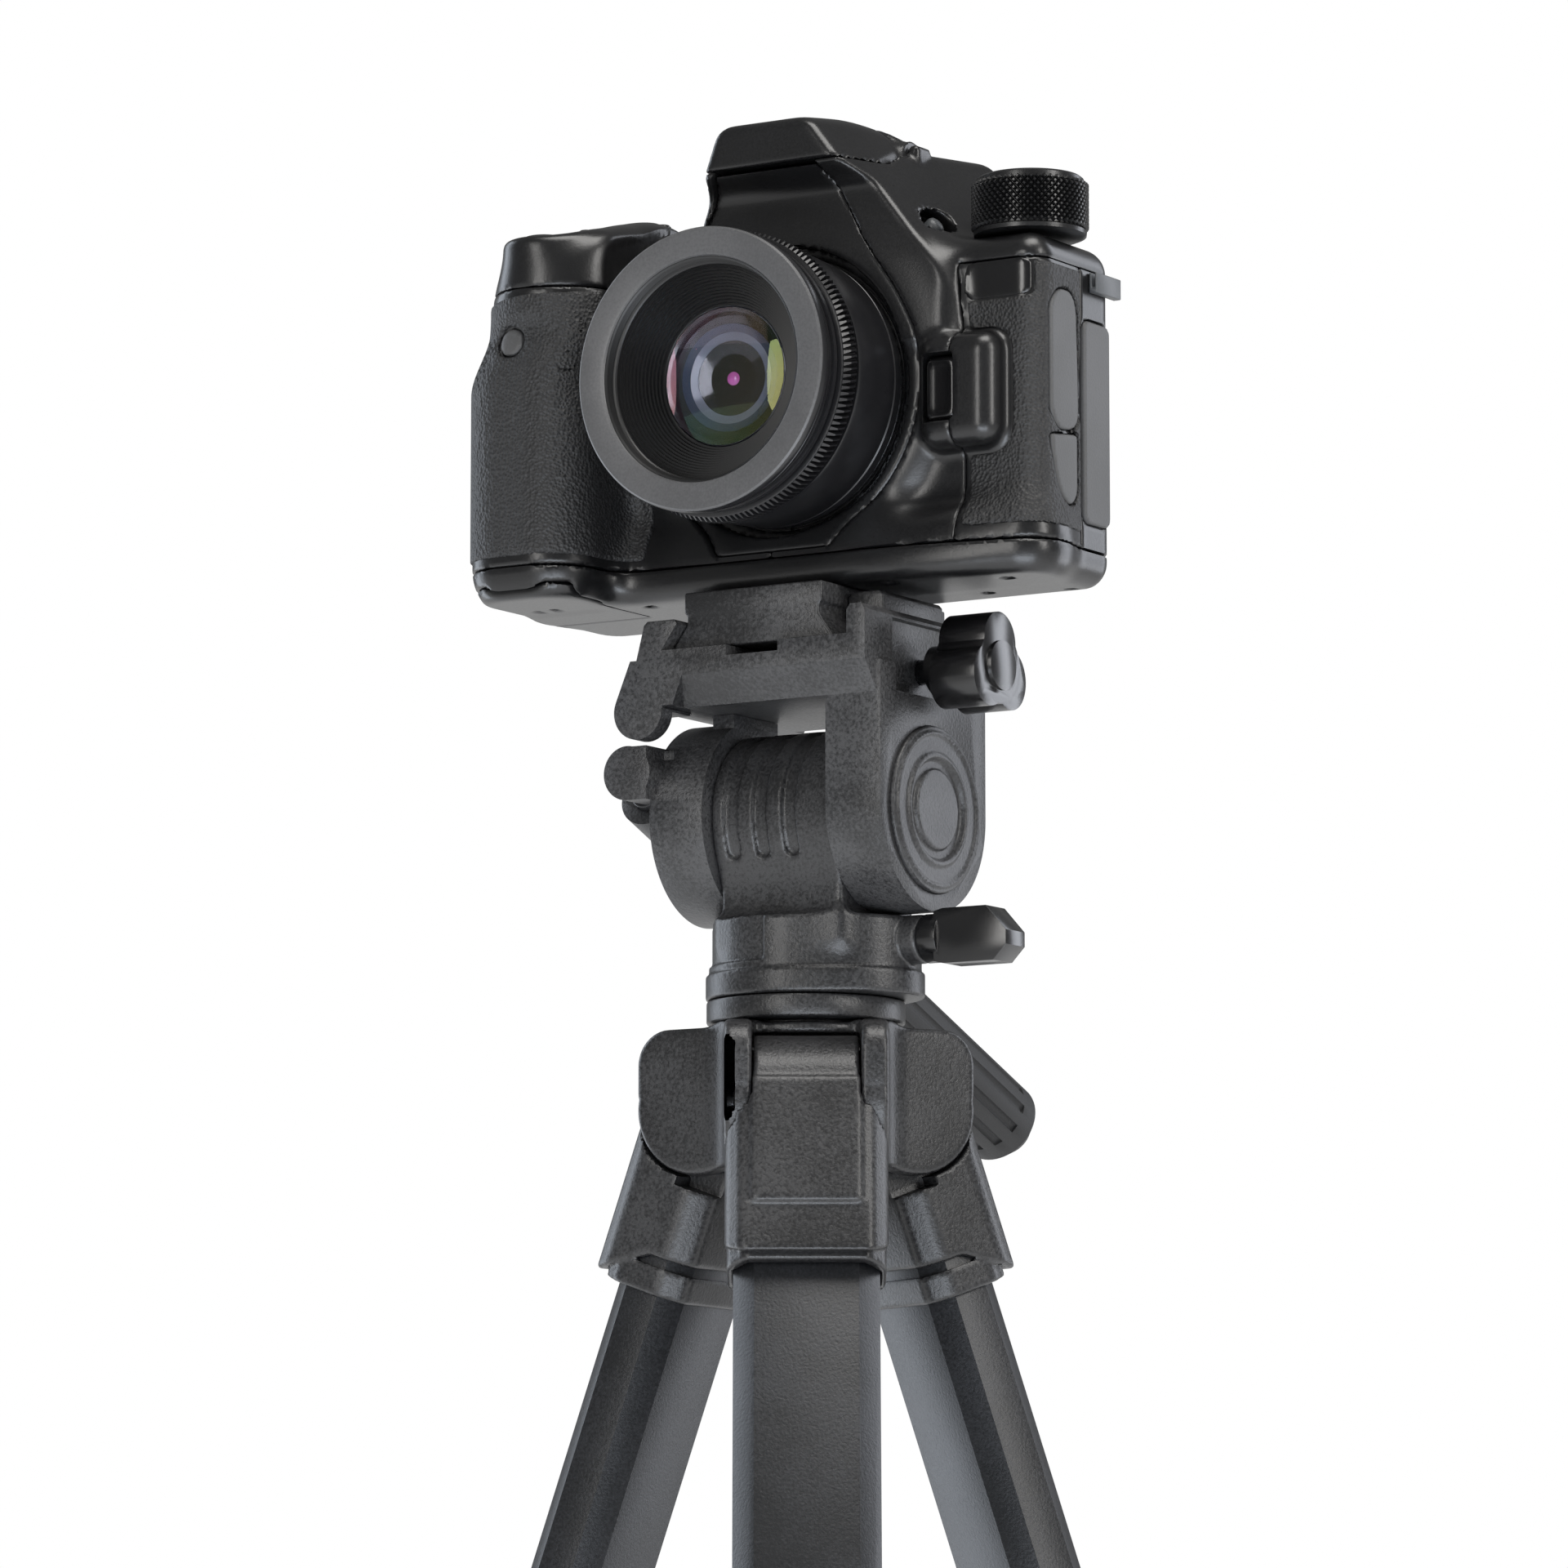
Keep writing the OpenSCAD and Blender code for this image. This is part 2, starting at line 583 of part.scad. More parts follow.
// Top cover: two decks, the prism hump and the ears of the flash hinge
module top_cover() {
    color([0.14, 0.14, 0.15]) on_camera() difference() {
        union() {
            translate([0, 0, deck_z + shut]) linear_extrude(5.3) body_outline(0);
            // Deck on the grip side, and its slope down to the grip
            hull() {
                translate([0, 0, deck_z + 5]) linear_extrude(1)
                    round_rect(-body_left, front_y, -33, back_y, 5);
                translate([0, 0, 95.5]) linear_extrude(1)
                    round_rect(-body_left + 3.5, front_y + 6, -33, back_y - 3, 5);
            }
            hull() {
                translate([0, 0, deck_z + 5]) linear_extrude(1)
                    round_rect(-body_left, grip_front, grip_x1, 0, 10);
                translate([0, 0, 94]) linear_extrude(0.5)
                    round_rect(-body_left + 3.5, -11, grip_x1 - 2, 3, 6);
                translate([0, 0, 86.6]) linear_extrude(0.5)
                    round_rect(-body_left + 5, grip_front + 3, grip_x1 - 3, -20, 8);
            }
            translate([shutter[0], shutter[1], deck_z + 5]) cylinder(r = 8.4, h = 6);
            // Prism hump, and its raised rear under the accessory shoe
            hull() {
                block([-43, 4, deck_z + 4], [43, back_y - 1, deck_z + 6]);
                block([-31, front_y, deck_z + 4], [34, 0, deck_z + 6]);
                block([-22, front_y, hump_z - 1], [22, 6, hump_z]);
                block([-27, 8, hump_z - 1], [27, back_y + 2, hump_z]);
            }
            hull() {
                block([-26, 12.4, hump_z - 1], [26, back_y + 2, hump_z]);
                block([-18, 13.4, 109], [18, back_y, 110.2]);
            }
            block([-15, back_y - 2, deck_z + 4], [15, 34, 101]);
            for (s = [-1, 1]) translate([s * (flash_half + 1.8), flash_pin_y, 0]) {
                block([-1.5, -3.4, hump_z - 3], [1.5, 3.4, flash_pin_z]);
                translate([-1.5, 0, flash_pin_z]) along_x() cylinder(r = 3.4, h = 3);
            }
        }
        translate([0, 0, lens_z]) along_front() cylinder(r = 33, h = 60);
        block([-24, -7, deck_z - 1], [24, 23, 100.5]);
        block([-body_left + wall, front_y + wall, deck_z - 1], [-36, back_y - wall, 92]);
        block([-body_left + 8, grip_front + 8, deck_z - 1], [grip_x1 - 5, 0, 83.5]);
        block([44, front_y + wall, deck_z - 1], [body_right - wall, back_y - wall, 81]);
        // Seats of the dial and the buttons, the finder window and the flash hinge
        translate([dial[0], dial[1], deck_z]) cylinder(r = 4 + fit, h = 30);
        translate([shutter[0], shutter[1], deck_z]) cylinder(r = 3.2, h = 30);
        translate([shutter[0], shutter[1], 87.2]) cylinder(r = 6.5, h = 20);
        translate([button_a[0], button_a[1], 80]) cylinder(r = 2.4, h = 30);
        translate([button_b[0], button_b[1], 80]) cylinder(r = 2.4, h = 30);
        block([-eye_half_w, 20, eye_z0], [eye_half_w, 40, eye_z1]);
        translate(flash_key) rotate([0, flash_key_lean, 0]) translate([0, 0, -1.5])
            cylinder(r = 2.9, h = 20);
        translate([-flash_half - 0.2, flash_pin_y, flash_pin_z]) along_x()
            cylinder(r = flash_nose_r + 0.35, h = 2 * flash_half + 0.4);
        block([-flash_half - 0.2, flash_pin_y - flash_nose_r - 2, hump_z - 1.85],
            [flash_half + 0.2, flash_pin_y, hump_z + 1]);
        translate([0, flash_pin_y, flash_pin_z]) along_x()
            cylinder(r = flash_pin_r + fit, h = 70, center = true);
    }
}

module bottom_cover() {
    color([0.16, 0.16, 0.17]) on_camera() difference() {
        linear_extrude(4) body_outline(0.5);
        translate([0, plate_y, -1]) cylinder(r = screw_r + fit, h = 10);
        block([-74 - gap, -37 - gap, -1], [-46.7, 1 + gap, 6]);
    }
}

// Soft covering of the grip and of the front's port side
module grip_rubber() {
    color([0.10, 0.10, 0.11]) on_camera() {
        difference() {
            translate([0, 0, 11]) linear_extrude(60)
                round_rect(-body_left - 1.1, grip_front - 1.1, grip_x1 + 1.1, 6, 11);
            translate([0, 0, 10]) linear_extrude(62) body_outline(-shut);
            block([-50, front_y - 6, 5], [-30, 30, 80]);
            // Window of the self-timer lamp
            translate([-60, grip_front + 5, 62]) along_front() cylinder(r = 3.6, h = 10);
        }
        difference() {
            translate([0, front_y - shut, 0]) along_front() linear_extrude(1)
                polygon([[43.1, 10.2], [47.6, 7.8], [64.5, 7.8], [64.5, 76], [50, 76], [46, 58]]);
            translate([release_x, 0, release_z]) along_front() cylinder(r = 9, h = 20);
        }
    }
}

module battery_door() {
    color([0.16, 0.16, 0.17]) on_camera()
        difference() {
            block([-74, -37, 0], [-47, 1, 3.6]);
            translate([-66, -18, -0.1]) cylinder(r = 5, h = 1.3);
        }
}

module battery() {
    color([0.2, 0.2, 0.22]) on_camera() block([-72, -34, 4.6], [-51, -1, 62]);
}

// A cover set into the port side of the body
module side_cover(y0, y1, z0, z1) {
    block([body_right - 1.4, y0, z0], [body_right + 0.5, y1, z1]);
}

// Soft leaf covers over the sockets, hinged on their front edge
module port_cover_upper() {
    color([0.09, 0.09, 0.10]) on_camera()
        side_cover(leaf_y0, leaf_y1, leaf_split + 0.2, leaf_z1);
}

module port_cover_lower() {
    color([0.09, 0.09, 0.10]) on_camera()
        side_cover(leaf_y0, leaf_y1, leaf_z0, leaf_split - 0.2);
}

module port_door() {
    color([0.12, 0.12, 0.13]) on_camera() side_cover(door_y0, door_y1, door_z0, door_z1);
}

// Knurled mode dial on its spindle
module mode_dial() {
    color([0.07, 0.07, 0.08]) on_camera() translate([dial[0], dial[1], 0]) {
        translate([0, 0, 81.2]) cylinder(r = 4, h = 4);
        difference() {
            translate([0, 0, 84]) cylinder(r = 13.8, h = 15);
            for (a = [0:15:359]) rotate([0, 0, a]) translate([14.3, 0, 87]) cylinder(r = 0.9, h = 11);
        }
    }
}

// Release button in its collar
module shutter_button() {
    color([0.12, 0.12, 0.13]) on_camera() translate([shutter[0], shutter[1], 0]) {
        translate([0, 0, 81]) cylinder(r = 3, h = 8);
        translate([0, 0, 88.6]) cylinder(r = 6.2, h = 2.2);
    }
}

module top_button_a() {
    color([0.06, 0.06, 0.07]) on_camera() translate([button_a[0], button_a[1], 84])
        cylinder(r = 2.2, h = 14.6);
}

module top_button_b() {
    color([0.06, 0.06, 0.07]) on_camera() translate([button_b[0], button_b[1], 84])
        cylinder(r = 2.2, h = 14.4);
}

// Pop-up flash head: its round rear edge turns on two pins in the cover's ears
module flash_unit() {
    color([0.16, 0.16, 0.17]) on_camera() {
        difference() {
            hull() {
                block([-20, -20, hump_z + 0.6], [20, -19, 112]);
                block([-16, -18, 115], [16, -16, 117]);
                block([-20, -2, 116], [20, -1, 118]);
                translate([-flash_half, flash_pin_y, flash_pin_z]) along_x()
                    cylinder(r = flash_nose_r, h = 2 * flash_half, $fn = 32);
            }
            block([-15, -22, 105.6], [15, -17.5, 112]);
            block([-40, -30, 90], [40, flash_pin_y - flash_nose_r, hump_z + 0.4]);
        }
        for (s = [-1, 1]) translate([s * (flash_half + 1.4), flash_pin_y, flash_pin_z]) along_x()
            cylinder(r = flash_pin_r, h = 3.4, center = true);
    }
}

// Accessory shoe
module hot_shoe() {
    color([0.6, 0.6, 0.62]) on_camera() difference() {
        block([-11.5, 15, 110.3], [11.5, 29, 114.4]);
        block([-9.35, 14, 111.3], [9.35, 27.4, 113.4]);
        block([-6.3, 14, 111.3], [6.3, 27.4, 118]);
    }
}

module flash_button() {
    color([0.5, 0.5, 0.52]) on_camera() translate(flash_key) rotate([0, flash_key_lean, 0])
        cylinder(r = 2.6, h = 8.3);
}

module release_button() {
    color([0.06, 0.06, 0.07]) on_camera() translate([release_x, front_y, release_z])
        along_front() translate([0, 0, -3]) cylinder(r = 6, h = 6.4);
}

module eyecup() {
    color([0.05, 0.05, 0.06]) on_camera() difference() {
        block([-17, 34 + shut, 82], [17, 40, 102]);
        block([-eye_half_w, 30, eye_z0], [eye_half_w, 50, eye_z1]);
    }
}

module screen() {
    color([0.03, 0.03, 0.04]) on_camera() block([-33, back_y - 1.1, 13], [39, back_y + 2, 61]);
}

module rear_dial() {
    color([0.08, 0.08, 0.09]) on_camera() translate([wheel_x, back_y - 1.1, wheel_z])
        rotate([-90, 0, 0]) difference() {
            cylinder(r = 14.2, h = 3);
            translate([0, 0, 1.6]) cylinder(r = 6, h = 3);
        }
}

// Mirror box with the steel lens mount ring
module mirror_box() {
    color([0.62, 0.62, 0.64]) on_camera() {
        translate([0, front_y + 2, lens_z]) along_front() difference() {
            cylinder(r = 32.8, h = 1.95);
            translate([0, 0, -1]) cylinder(r = 24.6, h = 5);
        }
        difference() {
            block([-22, front_y + 2, lens_z - 20], [22, 20, lens_z + 22]);
            block([-19.4, front_y - 1, lens_z - 17.4], [19.4, 19, lens_z + 19.4]);
        }
    }
}

// Reflex mirror on its upper rear hinge
module mirror() {
    color([0.8, 0.82, 0.85]) on_camera() translate([0, mirror_y, lens_z + 12])
        rotate([45, 0, 0]) block([-17, -mirror_len, -0.6], [17, 0, 0.6]);
}

module pentaprism() {
    color([0.75, 0.8, 0.85]) on_camera() block([-17, -5, lens_z + 23], [17, 20, 99]);
}

// Strap brackets at both shoulders
module strap_lugs() {
    color([0.5, 0.5, 0.52]) on_camera() {
        difference() {
            block([body_right + shut, 14, 71], [body_right + 2.3, 26, 76]);
            block([body_right + 0.8, 10, 72.4], [body_right + 1.7, 30, 77]);
        }
        difference() {
            block([-body_left - 2.3, 10, 71.4], [-body_left - shut, 22, 76]);
            block([-body_left - 1.7, 5, 72.6], [-body_left - 0.8, 30, 77]);
        }
    }
}

// ---------- lens ----------

// Turned about the lens axis: profile points are [radius, distance forward]
module turned() {
    translate([0, front_y, lens_z]) along_front() rotate_extrude($fn = 128) children();
}

// Barrel: a rear bayonet, the outer shell and the sleeve that the focus ring turns on
module lens_barrel() {
    color([0.14, 0.14, 0.15]) on_camera() turned()
        polygon([[23, -1.8], [24.3, -1.8], [24.3, 0.05], [lens_r - 1.2, 0.05],
            [lens_r - 0.8, 12], [lens_r, focus_from - gap], [sleeve_r, focus_from - gap],
            [sleeve_r, front_from - 0.1], [28, front_from - 0.1], [28, 8], [21, 8], [21, 1],
            [23, 1]]);
}

module focus_ring() {
    color([0.10, 0.10, 0.11]) on_camera() turned()
        polygon([[sleeve_r + fit, focus_from], [lens_r - 0.2, focus_from],
            [lens_r + 0.1, focus_from + 0.5], [lens_r + 0.1, front_from - 1.1],
            [lens_r - 0.2, front_from - 0.6], [sleeve_r + fit, front_from - 0.6]]);
}

// Front ring with its flat rim, the filter thread and the tapering baffle
module lens_front_ring() {
    color([0.34, 0.34, 0.35]) on_camera() turned()
        polygon([[27.9, 24], [27.9, front_from], [lens_r - 1, front_from], [lens_r - 1, 35],
            [lens_r, 36], [lens_r, lens_len - 0.6], [lens_r - 0.6, lens_len],
            [filter_r + 0.4, lens_len], [filter_r, lens_len - 0.4], [filter_r, lens_len - 3.8],
            [filter_r - 1.5, lens_len - 3.8], [17, 27.2], [17, 24]]);
}

// Front element, inner group and rear element
module lens_glass() {
    color([0.35, 0.4, 0.55]) on_camera() turned() {
        intersection() {
            square([16.9, 40]);
            translate([0, -4]) circle(31.5);
            translate([0, 23.4]) square([16.9, 9]);
        }
        translate([0, 14]) square([20.9, 4]);
        translate([0, 2]) square([17, 3]);
    }
}

// ---------- drawing ----------

hub();
hub_pins();
for (i = [1:3]) {
    leg_casting(i);
    leg_tube(i);
    lock_lever(i);
    lower_tube(i);
    foot(i);
}
base_ring();
pan_housing();
pan_lock_wing();
tilt_shaft();
tilt_bracket();
clamp_cheek();
tilt_cap();
clamp_jaw();
clamp_knob();
quick_plate();
camera_screw();
handle_rod();
handle_grip();
front_fascia();
front_shell();
rear_shell();
top_cover();
bottom_cover();
grip_rubber();
battery_door();
battery();
port_cover_upper();
port_cover_lower();
port_door();
mode_dial();
shutter_button();
top_button_a();
top_button_b();
flash_unit();
hot_shoe();
flash_button();
release_button();
eyecup();
screen();
rear_dial();
mirror_box();
mirror();
pentaprism();
strap_lugs();
lens_barrel();
focus_ring();
lens_front_ring();
lens_glass();
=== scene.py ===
import bpy
import bmesh
import json
import math
import numpy as np
from mathutils import Euler, Matrix, Vector


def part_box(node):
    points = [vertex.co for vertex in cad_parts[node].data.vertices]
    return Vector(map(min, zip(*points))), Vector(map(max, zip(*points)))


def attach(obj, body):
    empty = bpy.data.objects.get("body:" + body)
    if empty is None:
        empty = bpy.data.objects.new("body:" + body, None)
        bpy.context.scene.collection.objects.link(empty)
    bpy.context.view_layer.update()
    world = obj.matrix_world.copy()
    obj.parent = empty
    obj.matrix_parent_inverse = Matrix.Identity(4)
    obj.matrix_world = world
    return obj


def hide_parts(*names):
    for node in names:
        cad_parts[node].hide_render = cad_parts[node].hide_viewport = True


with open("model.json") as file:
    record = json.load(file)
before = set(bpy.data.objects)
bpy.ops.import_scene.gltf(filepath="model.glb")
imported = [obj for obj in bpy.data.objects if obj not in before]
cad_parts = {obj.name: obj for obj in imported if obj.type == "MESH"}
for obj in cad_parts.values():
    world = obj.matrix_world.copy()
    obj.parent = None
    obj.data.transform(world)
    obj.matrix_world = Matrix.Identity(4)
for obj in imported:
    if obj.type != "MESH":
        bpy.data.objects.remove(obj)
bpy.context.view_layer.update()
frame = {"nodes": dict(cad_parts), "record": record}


# ---- Viewpoint -----------------------------------------------------------
# A long lens looks slightly upwards at the camera head from the grip side of
# the lens. It is placed from the pan axis and the height of the leg hinges.

MM = 0.001


def middle(node):
    """The middle of a frame piece's box."""
    lo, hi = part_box(node)
    return (lo + hi) / 2


pan_axis = middle("base_ring")
hinge_z = middle("hub_pins").z
VIEW_TURN = math.radians(32)
VIEW_RISE = math.radians(7.7)
eye_offset = Vector((-5.3, -1765, -159.3)) * MM
eye_offset.rotate(Euler((0, 0, VIEW_TURN)))
view_data = bpy.data.cameras.new("view")
view_data.sensor_width = 36
view_data.lens = 168.75
view_data.clip_end = 60  # metres
view = bpy.data.objects.new("view", view_data)
view.location = Vector((pan_axis.x, pan_axis.y, hinge_z)) + eye_offset
view.rotation_euler = (math.radians(90) + VIEW_RISE, 0, VIEW_TURN)
bpy.context.scene.collection.objects.link(view)
bpy.context.scene.camera = view
bpy.context.scene.view_settings.view_transform = "Standard"


# ---- Studio --------------------------------------------------------------
# A pale matt floor, a white room and six soft boxes: two rims from behind, one
# above, one to the right, one in front and a low one that lights the undersides.

def linear(code):
    """The linear value of an sRGB hex colour."""
    parts = [int(code[i:i + 2], 16) / 255 for i in (1, 3, 5)]
    return tuple(c / 12.92 if c <= 0.04045 else ((c + 0.055) / 1.055) ** 2.4 for c in parts)


def add_node(tree, kind, links=(), **settings):
    """Adds a node, sets its properties or inputs, and joins its inputs."""
    made = tree.nodes.new(kind)
    for key, value in settings.items():
        if hasattr(made, key) and key not in made.inputs:
            setattr(made, key, value)
        else:
            made.inputs[key].default_value = value
    for key, source in dict(links).items():
        tree.links.new(source, made.inputs[key])
    return made


def start_material(name):
    """An empty node material and its tree."""
    material = bpy.data.materials.new(name)
    material.use_nodes = True
    material.node_tree.nodes.clear()
    return material, material.node_tree


def end_material(tree, shader):
    """Joins the shader to the material's output."""
    out = add_node(tree, "ShaderNodeOutputMaterial")
    tree.links.new(shader.outputs[0], out.inputs["Surface"])


def mesh_object(name, verts, faces, material=None):
    """A linked object at the origin, with its place in its mesh, in metres."""
    mesh = bpy.data.meshes.new(name)
    mesh.from_pydata([tuple(v) for v in verts], [], [tuple(f) for f in faces])
    mesh.update()
    made = bpy.data.objects.new(name, mesh)
    bpy.context.scene.collection.objects.link(made)
    if material:
        mesh.materials.append(material)
    return made


# Matt floor paint: pale and even, with no mirror image of the stand.
floor_paint, tree = start_material("pale_floor_paint")
end_material(tree, add_node(tree, "ShaderNodeBsdfPrincipled",
                            **{"Base Color": (*linear("#E8E8E8"), 1), "Roughness": 0.75}))
FLOOR = 15
floor = mesh_object("floor", [(-FLOOR, -FLOOR, 0), (FLOOR, -FLOOR, 0), (FLOOR, FLOOR, 0), (-FLOOR, FLOOR, 0)],
                    [(0, 1, 2, 3)], floor_paint)

# A white room, seen much dimmer in glossy surfaces so that black plastic stays black.
world = bpy.data.worlds.new("white_room")
world.use_nodes = True
world.node_tree.nodes.clear()
ray = add_node(world.node_tree, "ShaderNodeLightPath")
level = add_node(world.node_tree, "ShaderNodeMapRange", {"Value": ray.outputs["Is Glossy Ray"]})
ROOM_LIGHT = 1.0
ROOM_IN_GLOSS = 0.2
level.inputs["To Min"].default_value = ROOM_LIGHT
level.inputs["To Max"].default_value = ROOM_IN_GLOSS
room_light = add_node(world.node_tree, "ShaderNodeBackground", {"Strength": level.outputs[0]},
                      Color=(*linear("#FFFFFF"), 1))
room_out = add_node(world.node_tree, "ShaderNodeOutputWorld")
world.node_tree.links.new(room_light.outputs[0], room_out.inputs["Surface"])
bpy.context.scene.world = world


def soft_box(name, azimuth, height, distance, size, power, tint="#FFFFFF"):
    """A rectangular light that faces the middle of the head, azimuth from the view."""
    turn = VIEW_TURN + math.radians(azimuth)
    target = Vector((pan_axis.x, pan_axis.y, hinge_z + 0.1))
    place = target + Vector((math.sin(turn) * distance, -math.cos(turn) * distance, height))
    data = bpy.data.lights.new(name, "AREA")
    data.shape = "RECTANGLE"
    data.size, data.size_y = size
    data.energy = power
    data.color = linear(tint)
    made = bpy.data.objects.new(name, data)
    made.location = place
    made.rotation_euler = (target - place).to_track_quat("-Z", "Y").to_euler()
    bpy.context.scene.collection.objects.link(made)


soft_box("left_rim", -122, 0.1, 1.1, (0.5, 1.5), 8, "#EAF3FF")
soft_box("right_rim", 118, 0.3, 1.1, (0.4, 1.3), 6, "#F2F6FF")
soft_box("top_box", 25, 1.4, 0.5, (0.9, 0.7), 15, "#FFFDFA")
soft_box("right_box", 50, 0.5, 1.3, (0.3, 1.0), 9, "#FFFDFA")
soft_box("front_box", -32, 0.3, 1.7, (0.4, 1.0), 9, "#FFFDFA")
soft_box("low_box", 0, -0.5, 0.9, (0.9, 0.3), 6, "#EAF3FF")


# ---- Camera covers -------------------------------------------------------
# Five ABS mouldings screwed round a frame: front, rear, top and bottom covers and the
# fascia round the mount. One smooth outer form is skinned and parted along their seams.
# Sizes are millimetres from the lens axis, the split behind the mount and the base.

def settle(made, body, material=None, smooth_angle=38):
    """Smooths the faces, sets the finish and fixes the piece to its body."""
    if material:
        made.data.materials.clear()
        made.data.materials.append(material)
    made.data.polygons.foreach_set("use_smooth", [True] * len(made.data.polygons))
    made.data.set_sharp_from_angle(angle=math.radians(smooth_angle))
    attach(made, body)


def grained(name, colour, shade, rough, rough_spread, grain_mm, bump, metallic=0.0, coat=0.0):
    """A moulded, sprayed or cast finish: mottled colour, uneven gloss and a fine grain."""
    broad_scale = 38.0  # cloudy patches about 26 mm across
    grain_depth = 0.2 * MM
    material, tree = start_material(name)
    place = add_node(tree, "ShaderNodeTexCoord").outputs["Object"]
    fine = add_node(tree, "ShaderNodeTexNoise", {"Vector": place},
                    Scale=1000 / grain_mm, Detail=2.0, Roughness=0.6)
    broad = add_node(tree, "ShaderNodeTexNoise", {"Vector": place}, Scale=broad_scale, Detail=3.0)
    mixed = add_node(tree, "ShaderNodeMath", {0: fine.outputs["Fac"], 1: broad.outputs["Fac"]},
                     operation="MULTIPLY")
    speck = add_node(tree, "ShaderNodeMapRange", {"Value": mixed.outputs[0]})
    speck.inputs["From Min"].default_value = 0.17
    speck.inputs["From Max"].default_value = 0.34
    tone = add_node(tree, "ShaderNodeMix", {"Factor": speck.outputs[0]}, data_type="RGBA")
    tone.inputs[6].default_value = (*linear(shade), 1)
    tone.inputs[7].default_value = (*linear(colour), 1)
    gloss = add_node(tree, "ShaderNodeMapRange", {"Value": fine.outputs["Fac"]})
    gloss.inputs["To Min"].default_value = rough - rough_spread
    gloss.inputs["To Max"].default_value = rough + rough_spread
    relief = add_node(tree, "ShaderNodeBump", {"Height": fine.outputs["Fac"]},
                      Strength=bump, Distance=grain_depth)
    shader = add_node(tree, "ShaderNodeBsdfPrincipled",
                      {"Base Color": tone.outputs[2], "Roughness": gloss.outputs["Result"],
                       "Normal": relief.outputs["Normal"]},
                      **{"Metallic": metallic, "Coat Weight": coat, "Coat Roughness": 0.2})
    end_material(tree, shader)
    return material


# ABS from a finely etched mould: near black, with a broad satin gloss. Moulded grain is
# too fine to show, so it is drawn 0.4 to 0.8 mm coarse here and in the other finishes.
satin_abs = grained("satin_abs", "#121213", "#0D0D0E", 0.30, 0.05, 0.6, 0.12)


shell_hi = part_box("rear_shell")[1]
BODY_RIGHT = 70.5
BODY_LEFT = -77.5
BACK = 27.0
LENS_Z = 49.3
MOUNT_Y = -11.0
camera_zero = Vector((shell_hi.x - BODY_RIGHT * MM, shell_hi.y - BACK * MM,
                      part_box("bottom_cover")[0].z))
CELL = 0.85


def soft_min(a, b, k):
    """Joins two forms with a fillet about k wide."""
    h = np.maximum(k - np.abs(a - b), 0) / k
    return np.minimum(a, b) - h * h * k / 4


def soft_max(a, b, k):
    """Keeps what two forms share, with the edge rounded about k wide."""
    return -soft_min(-a, -b, k)


def rounded_box(p, lo, hi, r):
    """Distance from a box with edges of radius r."""
    q = [np.abs(p[i] - (lo[i] + hi[i]) / 2) - ((hi[i] - lo[i]) / 2 - r) for i in range(3)]
    outside = np.sqrt(sum(np.maximum(c, 0) ** 2 for c in q))
    return outside + np.minimum(np.maximum(np.maximum(q[0], q[1]), q[2]), 0) - r


def slope(p, point, normal):
    """Distance in front of a plane."""
    length = math.sqrt(sum(n * n for n in normal))
    return sum((p[i] - point[i]) * normal[i] for i in range(3)) / length


def step_up(t):
    """A smooth step from 0 to 1."""
    t = np.clip(t, 0, 1)
    return t * t * (3 - 2 * t)


def round_post(p, axis, centre, radius, start, stop, k=1.0):
    """A cylinder along an axis, between two places on it."""
    a, b = [i for i in range(3) if i != axis]
    wall = np.sqrt((p[a] - centre[0]) ** 2 + (p[b] - centre[1]) ** 2) - radius
    return soft_max(wall, np.maximum(start - p[axis], p[axis] - stop), k)


HOOD_FRONT = -20.0
FLASH_SPLIT = 104.3
SHUTTER = (-57.0, -31.0)
BUTTONS = ((-64.0, -2.0), (-44.0, 2.0))
DIAL = (59.0, 6.0)
RELEASE = (46.0, 45.5)
FLASH_KEY = (31.5, -2.0, 84.2)
KEY_LEAN = math.radians(55)
LAMP = (-61.0, 63.6)
WHEEL = (-56.0, 34.0)
WINDOW_LO, WINDOW_HI = (50.2, -40, 67.2), (67.8, 2, 76.2)
FLASH_HINGE = (8, 107.5)
BASE_SCREWS = ((-38, -12), (-40, 20), (30, -12), (58, -4), (62, 20), (42, 14), (-20, 22))


def prism_sides(p):
    """The two leaning sides of the prism hump, and its hood's front."""
    right = slope(p, (27, 5, 108), (22, -9, 17))
    left = slope(p, (-24, 0, 93), (-22, -2, 8))
    return soft_max(soft_max(right, left, 3), -(p[1] - HOOD_FRONT), 2)


